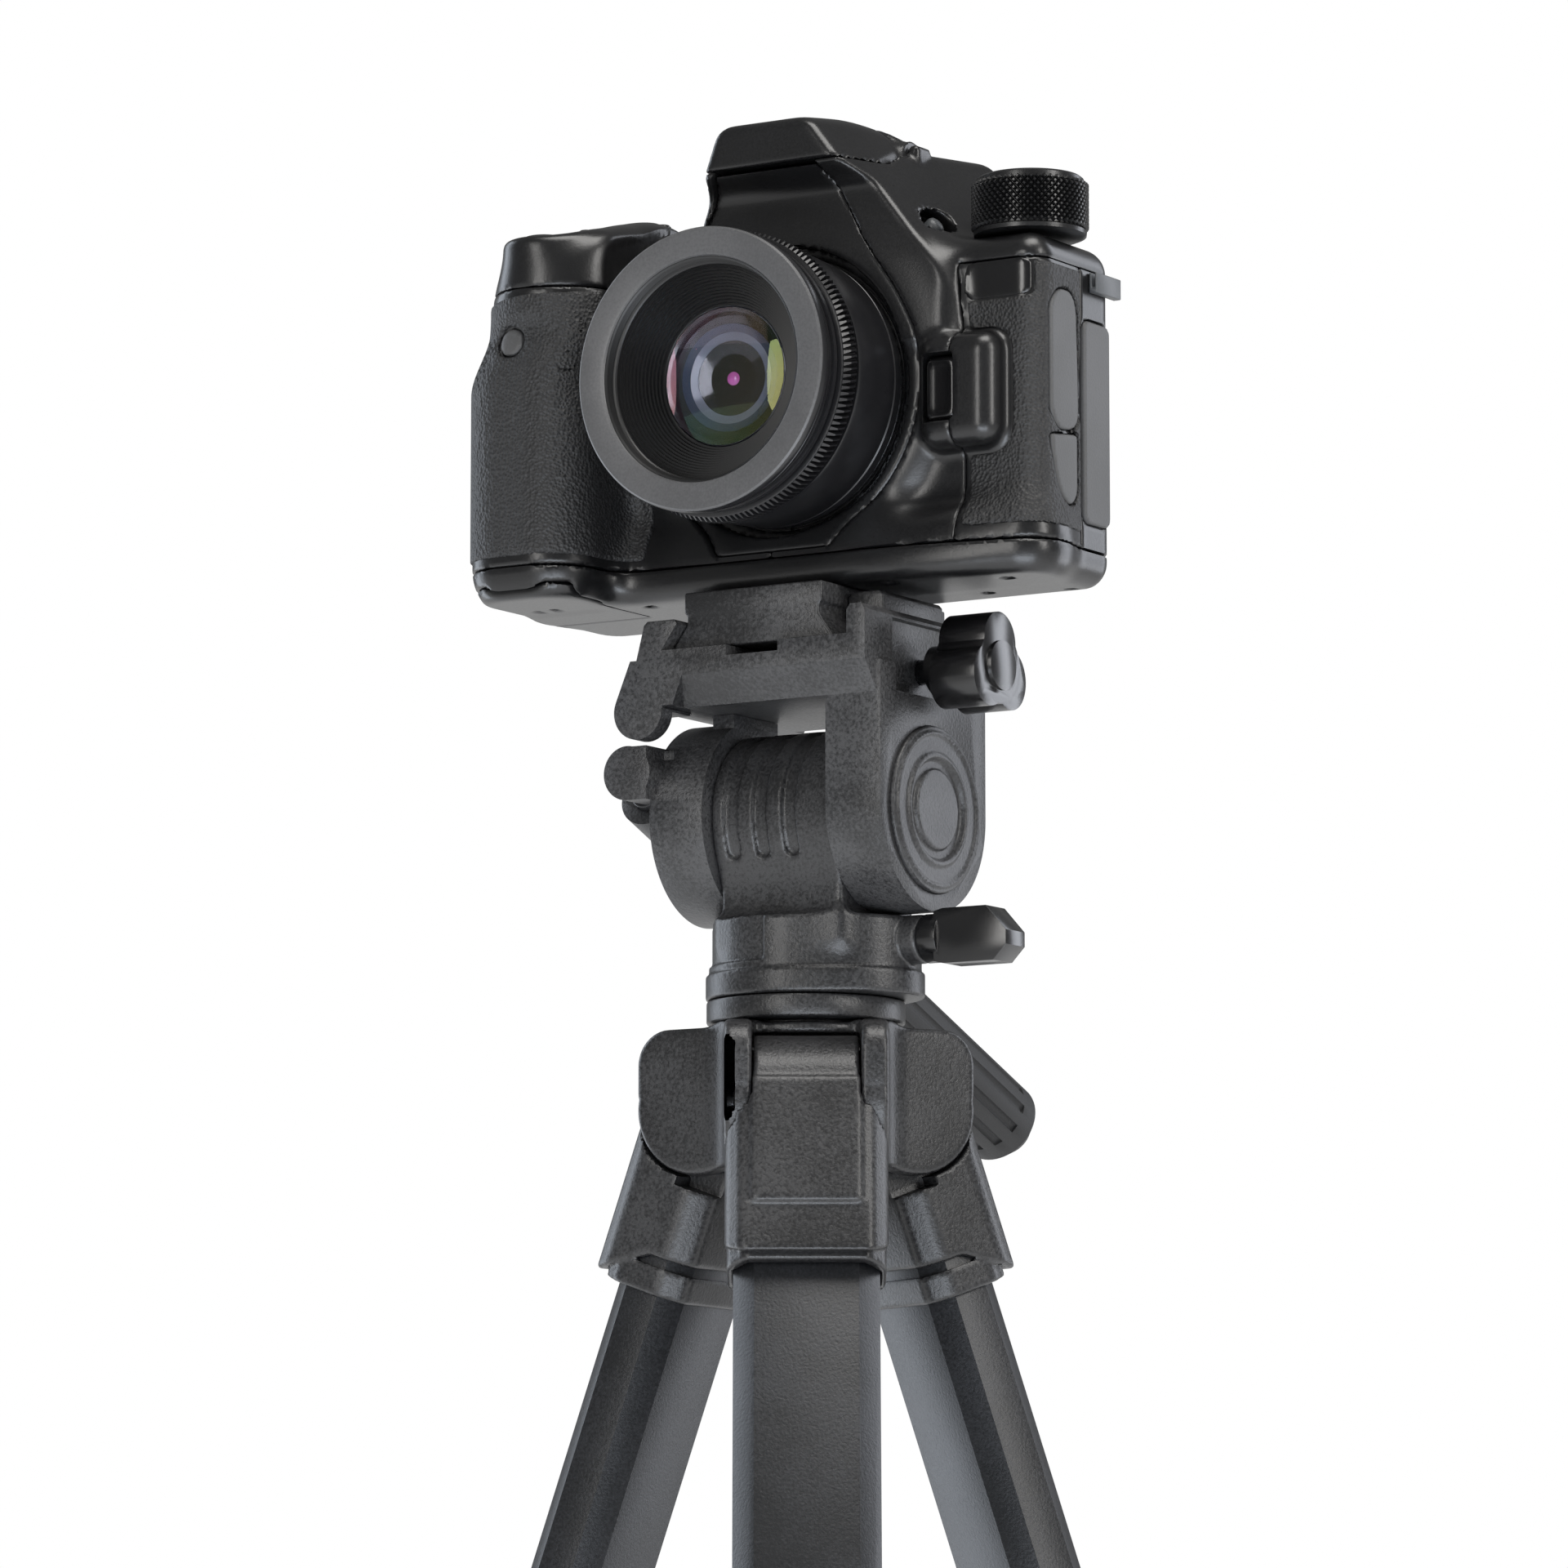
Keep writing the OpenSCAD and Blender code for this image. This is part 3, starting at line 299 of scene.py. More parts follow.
def outer_form(p):
    """The whole outside of the body, as one smooth solid."""
    x, y, z = p
    narrow = 4.2 * step_up((z - 52) / 16)
    near_grip = [x - narrow * (x < -40), y - 2.5 * step_up((z - 52) / 20), z]
    core = rounded_box(p, (BODY_LEFT + 3, MOUNT_Y + 1.5, 0), (BODY_RIGHT, BACK, 83.4), 6.5)
    deck = rounded_box(near_grip, (BODY_LEFT, MOUNT_Y, 0), (-28, BACK, 95.2), 9)
    deck = soft_max(deck, slope(p, (-60, -4, 94.2), (-0.22, -0.16, 1)), 8)
    grip = rounded_box(near_grip, (BODY_LEFT + 0.2, -41, -4), (-43.5, 10, 102), 13)
    grip = soft_max(grip, slope(p, (-57, -29, 88.2), (-0.32, -0.36, 1)), 9)
    grip = soft_max(grip, -z, 1.5)
    form = soft_min(soft_min(core, deck, 6), grip, 7)
    tower = round_post(p, 1, (0, LENS_Z), 41.5, MOUNT_Y - 1.2, 20, 5)
    form = soft_min(form, tower, 9)
    chin = rounded_box(p, (-46, -19.5, 0), (70, 5, 15), 6)
    chin = soft_max(chin, slope(p, (0, -19, 6), (0, -1, 0.55)), 4)
    chin = soft_max(chin, slope(p, (46, -19.5, 0), (0.44, -1, 0)), 8)
    form = soft_min(form, chin, 9)
    hump = soft_max(prism_sides(p), z - 109.8, 3)
    under_hood = -13.2 - 6.5 * step_up((z - 95) / 10) ** 2 - y
    hump = soft_max(hump, under_hood, 1.5)
    hump = soft_max(hump, y - 29, 3)
    hump = soft_max(hump, 60 - z, 1)
    hump = soft_max(hump, np.maximum(x - 47, -38 - x), 4)
    form = soft_min(form, hump, 7)
    housing = rounded_box(p, (40.5, -17.5, 31), (61.5, 0, 58.5), 5)
    form = soft_min(form, housing, 3)
    eyepiece = rounded_box(p, (-15.5, 20, 80), (15.5, 34, 103), 2.5)
    form = soft_min(form, eyepiece, 3)
    collar = round_post(p, 2, SHUTTER, 10.2, 70, 89.6, 2.5)
    form = soft_min(form, collar, 5)
    for sx in (-1, 1):
        ear = rounded_box(p, (sx * 26.8 - 1.5, 4.6, 100), (sx * 26.8 + 1.5, 11.4, 110.9), 1.2)
        form = soft_min(form, ear, 1)
    return soft_max(form, -z, 1)


def upper_leaf(p):
    """Outline of the upper socket cover on the port side, a rounded leaf."""
    leaf = rounded_box(p, (-100, -4.9, 35.2), (100, 8.6, 69.8), 6.5)
    leaf = soft_max(leaf, slope(p, (0, 8.6, 52), (0, 1, 0.07)), 3)
    return soft_max(leaf, slope(p, (0, 2, 35.6), (0, 0.12, -1)), 1)


def lower_leaf(p):
    """Outline of the lower socket cover, which narrows to a point."""
    leaf = rounded_box(p, (-100, -4.9, 17.2), (100, 7.6, 40), 5.5)
    leaf = soft_max(leaf, slope(p, (0, -3.5, 25), (0, -1, -0.55)), 5)
    return soft_max(leaf, slope(p, (0, 2, 34.6), (0, -0.12, 1)), 1)


def card_panel(p):
    """Outline of the memory card door behind the socket covers."""
    return rounded_box(p, (-100, 11, 14.5), (100, 23.5, 64), 2.5)


def holes(p):
    """Everything that is cut out of the covers: seats, wells and recesses."""
    x, y, z = p
    along = (x - FLASH_KEY[0]) * math.sin(KEY_LEAN) + (z - FLASH_KEY[2]) * math.cos(KEY_LEAN)
    across = (x - FLASH_KEY[0]) * math.cos(KEY_LEAN) - (z - FLASH_KEY[2]) * math.sin(KEY_LEAN)
    key_reach = np.sqrt(across ** 2 + (y - FLASH_KEY[1]) ** 2)
    cuts = [
        round_post(p, 1, (0, LENS_Z), 35.3, -60, -10.6, 0.2),
        round_post(p, 1, (0, LENS_Z), 33.0, -60, -8.9, 0.2),
        rounded_box(p, (-22.3, -10, 29), (22.3, 20.3, 71.6), 0.3),
        rounded_box(p, (-17.3, -5.3, 71), (17.3, 20.3, 99.3), 0.3),
        rounded_box(p, (-10.5, 20, 86), (10.5, 40, 97.5), 1.0),
        np.maximum(np.minimum(upper_leaf(p), lower_leaf(p)) - 0.25, 69.0 - x),
        np.maximum(card_panel(p) - 0.25, 69.0 - x),
        rounded_box(p, (40, 14.5, 20), (80, 19.5, 58), 0.8),
        rounded_box(p, (-72.3, -34.3, -9), (-50.7, -0.7, 62.3), 0.5),
        rounded_box(p, (-75.2, -38.6, -9), (-46.7, 1.3, 3.9), 0.5),
        rounded_box(p, (-33.3, 25.8, 12.7), (39.3, 40, 61.3), 1.0),
        round_post(p, 1, WHEEL, 14.6, 25.8, 40, 0.4),
        round_post(p, 2, (0, 6), 3.4, -9, 10, 0.2),
        round_post(p, 2, DIAL, 4.3, 80.5, 120, 0.2),
        round_post(p, 2, SHUTTER, 3.3, 79.4, 120, 0.2),
        round_post(p, 2, SHUTTER, 6.9, 86.4, 120, 0.6),
        rounded_box(p, (RELEASE[0] - 4.9, -40, RELEASE[1] - 8.4),
                    (RELEASE[0] + 4.9, -5.6, RELEASE[1] + 8.4), 2.0),
        np.maximum(key_reach - 3.0, -2.4 - along),
        np.maximum(key_reach - 5.4 + 0.35 * (along - 6), 4.6 - along),
        soft_max(np.sqrt((x - LAMP[0]) ** 2 + (z - LAMP[1]) ** 2) - 3.7, y + 38.6, 0.3),
    ]
    for place in BASE_SCREWS:
        cuts.append(round_post(p, 2, place, 1.7, -9, 0.9, 0.2))
    for place in BUTTONS:
        cuts.append(round_post(p, 2, place, 2.5, 82, 120, 0.2))
    for low, high in ((24, 33), (39, 49), (54, 64)):
        cuts.append(rounded_box(p, (62, -2, low), (80, 5, high), 1.0))
    flash_seat = rounded_box(p, (-25.3, -40, FLASH_SPLIT), (25.3, 13.3, 130), 0.4)
    hinge_reach = np.sqrt((y - FLASH_HINGE[0]) ** 2 + (z - FLASH_HINGE[1]) ** 2)
    flash_groove = np.maximum(hinge_reach - 5.5, np.abs(x) - 25.3)
    cuts += [flash_seat, flash_groove]
    return np.minimum.reduce(cuts)


def mount_panel(p):
    """The fascia's outline: a shield round the mount that runs up under the hood."""
    x, y, z = p
    edge = np.sqrt((x - 0.5) ** 2 + (z - LENS_Z) ** 2) - 38.6
    neck = soft_max(np.abs(x + 1) - 33 + 0.55 * (z - 70), 60 - z, 4)
    foot = soft_max(np.abs(x) - 15, z - 40, 4)
    shield = soft_min(soft_min(edge, neck, 6), foot, 10)
    shield = soft_max(shield, 9.6 - z, 2)
    return np.maximum(soft_max(shield, z - 103.9, 0.5), y + 8.7)


def frame_band(p):
    """The band of the top cover that runs down the port side of the mount."""
    x, y, z = p
    return np.maximum(np.maximum(-x, x - 49.8 + 0.10 * np.maximum(z - 60, 0)), y - 2)


def body_field(p):
    """The outer form with all its wells and recesses."""
    return np.maximum(outer_form(p), -holes(p))


GRID_LO = (BODY_LEFT - 3, -46.0, -3.0)
GRID_HI = (BODY_RIGHT + 6, 38.0, 121.0)
axes = [np.arange(GRID_LO[i], GRID_HI[i], CELL) for i in range(3)]
grid = np.meshgrid(*axes, indexing="ij")
outer_values = outer_form(grid)
body_values = np.maximum(outer_values, -holes(grid))


def surface(values, field, low=GRID_LO, cell=CELL):
    """The zero surface of sampled values, as points and quads, drawn onto the field."""
    shape = values.shape
    total = np.zeros(shape + (3,))
    hits = np.zeros(shape)
    quads = []
    index = np.arange(values.size).reshape(shape)
    for a in range(3):
        b, c = (a + 1) % 3, (a + 2) % 3
        first = [slice(None)] * 3
        second = [slice(None)] * 3
        first[a], second[a] = slice(0, -1), slice(1, None)
        v0, v1 = values[tuple(first)], values[tuple(second)]
        cells = np.argwhere((v0 < 0) != (v1 < 0))
        cells = cells[(cells[:, b] > 0) & (cells[:, c] > 0)]
        near_value = v0[tuple(cells.T)]
        far_value = v1[tuple(cells.T)]
        point = cells.astype(float)
        point[:, a] += near_value / (near_value - far_value)
        ring = []
        for db, dc in ((0, 0), (-1, 0), (-1, -1), (0, -1)):
            near = cells.copy()
            near[:, b] += db
            near[:, c] += dc
            np.add.at(total, tuple(near.T), point)
            np.add.at(hits, tuple(near.T), 1)
            ring.append(index[tuple(near.T)])
        quad = np.stack(ring, axis=1)
        quads.append(np.where((near_value < 0)[:, None], quad, quad[:, ::-1]))
    used, faces = np.unique(np.concatenate(quads), return_inverse=True)
    faces = faces.reshape(-1, 4)
    points = total.reshape(-1, 3)[used] / hits.reshape(-1)[used][:, None]
    points = points * cell + np.array(low)
    for turn in range(3):
        p = [points[:, i] for i in range(3)]
        away = field(p)
        grade = []
        for i in range(3):
            ahead = [c + 0.04 * (i == j) for j, c in enumerate(p)]
            grade.append((field(ahead) - away) / 0.04)
        grade = np.stack(grade, axis=1)
        size = np.maximum((grade ** 2).sum(axis=1), 0.2)
        move = np.clip(away / size, -0.3 * cell, 0.3 * cell)
        points = points - grade * move[:, None]
    return points, faces


def formed(name, field, low, high, cell, place, body, material, stands_for=(), smooth=60):
    """Skins a field between two corners, in millimetres, and puts it in place by a matrix."""
    ticks = [np.arange(low[i] - 2 * cell, high[i] + 3 * cell, cell) for i in range(3)]
    points, faces = surface(field(np.meshgrid(*ticks, indexing="ij")), field,
                            [t[0] for t in ticks], cell)
    mesh = bpy.data.meshes.new(name)
    mesh.from_pydata((points * MM).tolist(), [], faces.tolist())
    mesh.transform(place)
    made = bpy.data.objects.new(name, mesh)
    bpy.context.scene.collection.objects.link(made)
    settle(made, body, material, smooth)
    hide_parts(*stands_for)
    return made


def camera_place(points):
    """Camera millimetres to the frame's metres."""
    return np.asarray(points, dtype=float) * MM + np.array(camera_zero)


def skin(name, values, field, body="camera", material=None, stands_for=()):
    """Makes a piece of the skinned form."""
    points, faces = surface(values, field)
    mesh = bpy.data.meshes.new(name)
    mesh.from_pydata(camera_place(points).tolist(), [], faces.tolist())
    mesh.update()
    made = bpy.data.objects.new(name, mesh)
    bpy.context.scene.collection.objects.link(made)
    settle(made, body, material, 60)
    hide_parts(*stands_for)
    return made


SEAM = 0.15
LOW_SEAM = 8.0
TOP_SEAM = 76.5
SPLIT_Y = 9.8


def in_front_cover(p):
    inside = np.maximum(np.maximum(LOW_SEAM + SEAM - p[2], p[2] - TOP_SEAM + SEAM),
                        p[1] - SPLIT_Y + SEAM)
    return np.maximum(np.maximum(inside, SEAM - mount_panel(p)), 0.1 - frame_band(p))


def in_rear_cover(p):
    return np.maximum(np.maximum(LOW_SEAM + SEAM - p[2], p[2] - TOP_SEAM + SEAM),
                      SPLIT_Y + SEAM - p[1])


def in_top_cover(p):
    upper = TOP_SEAM + SEAM - p[2]
    band = np.maximum(frame_band(p), LOW_SEAM + SEAM - p[2])
    return np.maximum(np.minimum(upper, band), SEAM - mount_panel(p))


def in_bottom_cover(p):
    return np.maximum(p[2] - LOW_SEAM + SEAM, SEAM - mount_panel(p))


def cut_piece(where, inset=0.0):
    """One cover's share of the body, as sampled values and a field."""
    def field(p):
        return soft_max(body_field(p) + inset, where(p), 0.5)
    return soft_max(body_values + inset, where(grid), 0.5), field


for name, where, slot, inset in (
        ("front_shell", in_front_cover, "body_plastic", 0.0),
        ("rear_shell", in_rear_cover, "body_plastic", 0.0),
        ("top_cover", in_top_cover, "body_plastic", 0.0),
        ("bottom_cover", in_bottom_cover, "body_plastic", 0.0),
        ("front_fascia", mount_panel, "fascia_plastic", 0.5)):
    values, field = cut_piece(where, inset)
    skin(name + "_moulding", values, field, material=satin_abs, stands_for=(name,))


# ---- Pop-up flash --------------------------------------------------------
# The hood of the hump: an ABS moulding, hinged on two pins at its round rear edge.

def flash_form(p):
    x, y, z = p
    crown = soft_max(slope(p, (0, -19, 115.6), (0, -0.10, 1)), slope(p, (0, 0, 117.6), (0, 0.42, 1)), 4)
    sides = soft_max(prism_sides(p), np.abs(x) - 25, 1.5)
    lean = soft_max(slope(p, (15, -18, 115.5), (0.80, -0.15, 1)),
                    slope(p, (-15, -18, 115.5), (-0.9, -0.15, 1)), 2)
    form = soft_max(soft_max(sides, crown, 3), lean, 3)
    form = soft_max(form, FLASH_SPLIT + 0.2 - z, 0.6)
    form = soft_max(form, y - 3, 1)
    nose = np.maximum(np.sqrt((y - FLASH_HINGE[0]) ** 2 + (z - FLASH_HINGE[1]) ** 2) - 5, np.abs(x) - 25)
    back = soft_max(slope(p, (0, 0, 117.6), (0, 0.55, 1)), np.maximum(y - 8, 3 - y), 1)
    back = np.maximum(np.maximum(back, np.abs(x) - 25), FLASH_SPLIT + 0.2 - z)
    form = np.minimum(soft_min(form, nose, 3), soft_max(back, lean, 2))
    return soft_max(form, under_flash(p), 0.5)


def under_flash(p):
    return slope(p, (0, -19.6, 104.6), (0, -0.1, -1))


skin("flash_hood", flash_form(grid), flash_form, "flash", satin_abs, ("flash_unit",))


# ---- Covers and doors of the body ----------------------------------------
# Soft leaf covers over the sockets, the card door, the battery door and a
# smoked window and lamp. The four covers and doors each ride on a body of their own.

slot_of = {s["node"]: s["material_slot"] for s in frame["record"]["subparts"]}

# Soft elastomer: dark grey and matt, lighter than the covers round it.
port_rubber = grained("port_cover_rubber", "#414142", "#393939", 0.55, 0.06, 0.6, 0.3)


def side_piece(name, outline, body, material, node):
    """A thin cover on the port side, cut to its outline."""
    def field(p):
        slab = soft_max(p[0] - 71.0, 69.2 - p[0], 0.3)
        return soft_max(slab, outline(p), 0.6)
    return skin(name, field(grid), field, body, material, (node,))


side_piece("socket_leaf_upper", upper_leaf, "leaf_upper", port_rubber, "port_cover_upper")
side_piece("socket_leaf_lower", lower_leaf, "leaf_lower", port_rubber, "port_cover_lower")
side_piece("card_door", card_panel, "card_door", port_rubber, "port_door")


def battery_panel(p):
    panel = rounded_box(p, (-75, -38.4, -4), (-46.9, 1.1, 3.7), 0.4)
    latch = rounded_box(p, (-69.5, -22, -4), (-58.5, -15, 1.0), 3.4)
    lip = rounded_box(p, (-65.5, -23, -4), (-62.5, -14, 3), 0.5)
    return soft_max(soft_max(outer_form(p), panel, 0.4), -soft_max(latch, -lip, 0.2), 0.3)


skin("battery_door_panel", battery_panel(grid), battery_panel, "battery_hatch",
     satin_abs, ("battery_door",))


# Polished ABS: deep black with sharper highlights.
gloss_abs = grained("gloss_abs", "#0B0B0C", "#080809", 0.22, 0.03, 0.6, 0.05, 0.0, 0.2)


def window_form(p):
    zone = rounded_box(p, WINDOW_LO, WINDOW_HI, 2)
    shell = outer_form(p)
    return soft_max(soft_max(shell - 0.3, -0.8 - shell, 0.2), zone, 0.4)


skin("smoked_window", window_form(grid), window_form, "camera", gloss_abs)


def lamp_form(p):
    x, y, z = p
    lens = round_post(p, 1, LAMP, 3.4, -60, 0, 0.3)
    return soft_max(soft_max(outer_form(p) - 0.35, y + 30, 0.3), lens, 0.6)


skin("timer_lamp", lamp_form(grid), lamp_form, "camera", port_rubber)


# ---- Grip covering -------------------------------------------------------
# Moulded rubber with a fine leather grain, glued into shallow beds on the grip
# and on the port side of the front. It stands half a millimetre proud.

# Elastomer pressed against a leather-grained mould: matt, with soft pebbles and creases.
# Real pebbles are about 0.5 mm, drawn at 0.85 mm so that they show.
PEBBLE_MM = 0.85
CREASE_MM = 2.6
leather_rubber, tree = start_material("leather_grain_rubber")
place = add_node(tree, "ShaderNodeTexCoord").outputs["Object"]
pebble = add_node(tree, "ShaderNodeTexVoronoi", {"Vector": place},
                  feature="F1", Scale=1000 / PEBBLE_MM, Randomness=1.0)
wrinkle = add_node(tree, "ShaderNodeTexNoise", {"Vector": place}, Scale=1000 / CREASE_MM, Detail=4.0)
height = add_node(tree, "ShaderNodeMath", {0: pebble.outputs["Distance"], 1: wrinkle.outputs["Fac"]},
                  operation="ADD")
relief = add_node(tree, "ShaderNodeBump", {"Height": height.outputs[0]}, Strength=0.7, Distance=0.0005)
tone = add_node(tree, "ShaderNodeMix", {"Factor": wrinkle.outputs["Fac"]}, data_type="RGBA")
tone.inputs[6].default_value = (*linear("#181819"), 1)
tone.inputs[7].default_value = (*linear("#101011"), 1)
gloss = add_node(tree, "ShaderNodeMapRange", {"Value": wrinkle.outputs["Fac"]})
gloss.inputs["To Min"].default_value = 0.48
gloss.inputs["To Max"].default_value = 0.64
end_material(tree, add_node(tree, "ShaderNodeBsdfPrincipled",
                            {"Base Color": tone.outputs[2], "Roughness": gloss.outputs[0],
                             "Normal": relief.outputs[0]}))


def rubber_bed(p):
    """Where the covering lies: round the grip, and on the port side of the front."""
    x, y, z = p
    grip = np.maximum(np.maximum(10.5 - z, z - 74.5 - 0.05 * (x + 60)), x + 36.5)
    grip = soft_max(grip, y - 6, 1)
    port = np.maximum(np.maximum(10.5 - z, z - 75.5), 51.5 - x - 0.10 * np.maximum(z - 60, 0))
    port = soft_max(soft_max(port, y - 9.2, 1), 11.5 - z, 2)
    clear = -rounded_box(p, (39, -40, 29.5), (63, 10, 60), 6)
    leaf = np.minimum(0.3 - np.minimum(upper_leaf(p), lower_leaf(p)), x - 60)
    window = 0.3 - rounded_box(p, WINDOW_LO, WINDOW_HI, 2)
    port = np.maximum(np.maximum(np.maximum(port, clear), leaf), window)
    lamp = 3.9 - np.sqrt((x - LAMP[0]) ** 2 + (z - LAMP[1]) ** 2)
    return np.minimum(np.maximum(grip, np.where(y < -20, lamp, -100)), port)


def covering(shell, bed):
    """A skin from 0.6 mm under the outer form to 0.55 mm over it, within its bed."""
    return soft_max(soft_max(shell - 0.55, -0.6 - shell, 0.3), bed, 0.7)


def covering_field(p):
    return covering(outer_form(p), rubber_bed(p))


skin("grip_covering", covering(outer_values, rubber_bed(grid)), covering_field,
     material=leather_rubber, stands_for=("grip_rubber",))


# ---- Lens ----------------------------------------------------------------
# Turned and anodised aluminium tubes and a moulded front ring, black inside, with
# coated glass. Profiles are [radius, distance in front of the mount] in millimetres.

RING_STEPS = 144


def lens_place(ring_x, ring_z, forward):
    """A point beside the lens axis, and its distance in front of the mount."""
    return (ring_x, MOUNT_Y - forward, LENS_Z + ring_z)


def lathe(name, profile, body, material, stands_for=(), smooth=32, steps=RING_STEPS):
    """A closed ring, or a solid where the profile starts and ends on the axis."""
    verts = []
    faces = []
    rows = []
    for radius, forward in profile:
        if radius == 0:
            rows.append([len(verts)] * steps)
            verts.append(lens_place(0, 0, forward))
            continue
        rows.append(list(range(len(verts), len(verts) + steps)))
        for k in range(steps):
            turn = 2 * math.pi * k / steps
            verts.append(lens_place(radius * math.cos(turn), radius * math.sin(turn), forward))
    solid = profile[0][0] == 0
    pairs = list(zip(rows, rows[1:] + ([] if solid else rows[:1])))
    for first, second in pairs:
        for k in range(steps):
            j = (k + 1) % steps
            corners = [first[k], first[j], second[j], second[k]]
            faces.append(list(dict.fromkeys(corners)))
    made = mesh_object(name, camera_place(verts), faces)
    mesh = bmesh.new()
    mesh.from_mesh(made.data)
    bmesh.ops.recalc_face_normals(mesh, faces=mesh.faces)
    mesh.to_mesh(made.data)
    mesh.free()
    settle(made, body, material, smooth)
    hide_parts(*stands_for)
    return made


# Satin grey paint on the front rim, and a flat black on the baffles that swallows light.
rim_paint = grained("grey_rim_paint", "#464647", "#3E3E3F", 0.40, 0.06, 0.6, 0.1)
matt_black = grained("matt_black_baffle", "#0B0B0C", "#080809", 0.42, 0.05, 0.5, 0.06)
# Black anodised aluminium: a fine even sheen along the turned tubes.
black_metal = grained("black_lens_metal", "#151517", "#111113", 0.30, 0.05, 0.4, 0.05)

barrel = [(23, -1.7), (24.2, -1.7), (24.2, 0.1), (32.6, 0.1), (33.2, 0.6), (33.3, 3.2), (33.0, 3.5),
          (33.0, 3.8), (33.4, 4.1), (33.9, 12), (34.3, 20.6), (34.0, 21.4), (30.6, 21.5), (30.6, 29.9),
          (28.1, 29.9), (28.1, 8), (21.1, 8), (21.1, 1), (23, 1)]
lathe("lens_barrel_tube", barrel, "camera", black_metal, ("lens_barrel",))
focus = [(31.1, 22.0), (33.3, 22.0), (33.7, 22.4), (33.7, 28.7), (34.4, 28.9), (34.5, 29.3),
         (34.1, 29.5), (31.1, 29.5)]
lathe("focus_ring_sleeve", focus, "focus", black_metal, ("focus_ring",))
BAFFLES = 13
front = [(28.0, 24.2), (28.0, 30.2), (33.2, 30.2), (33.6, 30.6), (33.6, 31.9), (32.9, 32.1), (32.9, 33.2),
         (33.6, 33.5), (34.0, 34.4), (34.0, 35.3), (33.5, 35.6), (33.5, 36.0), (34.3, 36.2), (34.6, 36.6),
         (34.6, 37.9), (34.3, 38.5)]
lathe("lens_front_sleeve", front + [(30, 38.4), (28.3, 37), (28.3, 24.2)], "camera",
      black_metal, ("lens_front_ring",))
rim = [(34.4, 38.1), (34.35, 38.6), (33.9, 38.95), (28.2, 38.95), (27.6, 38.7), (27.3, 38.2), (28.4, 37.5)]
lathe("lens_front_rim", rim, "camera", rim_paint)
inner = [(28.2, 38.3), (27.2, 38.3)]
for k in range(6):
    inner += [(26.75, 38.0 - 0.45 * k), (27.2, 37.78 - 0.45 * k)]
inner.append((26.3, 35.2))
for k in range(BAFFLES):
    radius = 26.0 - (26.0 - 17.2) * k / BAFFLES
    deep = 34.9 - (34.9 - 27.2) * k / BAFFLES
    inner += [(radius, deep), (radius - 0.1, deep - 0.5), (radius - 0.62, deep - 0.42)]
inner += [(16.95, 27.0), (16.95, 24.2), (28.2, 24.2)]
lathe("lens_baffles", inner, "camera", matt_black, (), 20)

# Coated glass is clear and reflects green and violet; the group behind it is dark, with blue and grey rings
# of painted reflection and a violet dot of painted glint.
coated_glass, tree = start_material("coated_optical_glass")
COATING_NM = 420.0
end_material(tree, add_node(tree, "ShaderNodeBsdfPrincipled", **{
    "Base Color": (*linear("#F4F6FF"), 1), "Roughness": 0.02, "IOR": 1.5, "Transmission Weight": 1.0,
    "Thin Film Thickness": COATING_NM, "Thin Film IOR": 1.38}))


def tinted_glass(name, colour, rough=0.08, glow=0.0):
    """Glass seen against black: a dark tint that varies a little, with a hard gloss; a light tint stands for
    a painted reflection and the glow for a painted glint.
    """
    material, tree = start_material(name)
    place = add_node(tree, "ShaderNodeTexCoord").outputs["Object"]
    cloud = add_node(tree, "ShaderNodeTexNoise", {"Vector": place}, Scale=60.0, Detail=2.0)
    tone = add_node(tree, "ShaderNodeMix", {"Factor": cloud.outputs["Fac"]}, data_type="RGBA")
    tone.inputs[6].default_value = (*linear(colour), 1)
    tone.inputs[7].default_value = (*[c * 0.7 for c in linear(colour)], 1)
    shader = add_node(tree, "ShaderNodeBsdfPrincipled", {"Base Color": tone.outputs[2]},
                      **{"Roughness": rough, "Coat Weight": 0.4, "Coat Roughness": 0.05})
    if glow:
        shader.inputs["Emission Color"].default_value = (*linear(colour), 1)
        shader.inputs["Emission Strength"].default_value = glow
    end_material(tree, shader)
    return material


def dome(radius, edge, rise, points=9):
    """Profile of a convex face from the axis to its edge."""
    bulge = (radius ** 2 + rise ** 2) / (2 * rise)
    result = []
    for k in range(points):
        r = radius * k / (points - 1)
        result.append((r, edge + rise - (bulge - math.sqrt(bulge ** 2 - r ** 2))))
    return result


front_face = dome(16.7, 27.4, 2.4)
lathe("front_element", front_face + [(16.7, 26.8)] + [(r, 26.8 - 0.6 * (1 - (r / 16.7) ** 2))
      for r in (12, 8, 4, 0)], "camera", coated_glass, ("lens_glass",), 60)
lathe("group_cell", [(16.9, 26.6), (16.9, 20.0), (12.6, 20.0), (12.6, 24.6), (14.6, 25.2), (15.6, 26.4)],
      "camera", tinted_glass("cell_black", "#12151B", 0.2))
# Blue and grey rings on the inner glass: painted reflections, drawn as opaque tinted discs.
lathe("group_ring_outer", [(12.6, 24.8), (10.6, 24.2), (10.6, 20.6), (12.6, 20.6)],
      "camera", tinted_glass("cell_blue", "#333E52", 0.16))
lathe("group_ring_grey", [(10.6, 24.0), (8.6, 23.6), (8.6, 20), (10.6, 20)],
      "camera", tinted_glass("cell_grey", "#70757F", 0.3))
lathe("group_ring_inner", [(8.6, 23.4), (5.6, 22.8), (5.6, 20), (8.6, 20)],
      "camera", tinted_glass("cell_dark", "#0E1016", 0.15))
lathe("iris_face", [(0, 22.6), (5.7, 22.6), (5.7, 20.6), (0, 20.6)],
      "camera", tinted_glass("iris_black", "#050508", 0.1))
# A glowing violet dot in the iris: a painted glint, not a lamp.
lathe("iris_glint", dome(1.5, 22.75, 0.5, 5) + [(1.5, 22.65), (0, 22.65)],
      "camera", tinted_glass("iris_violet", "#A04A86", 0.1, 0.5))


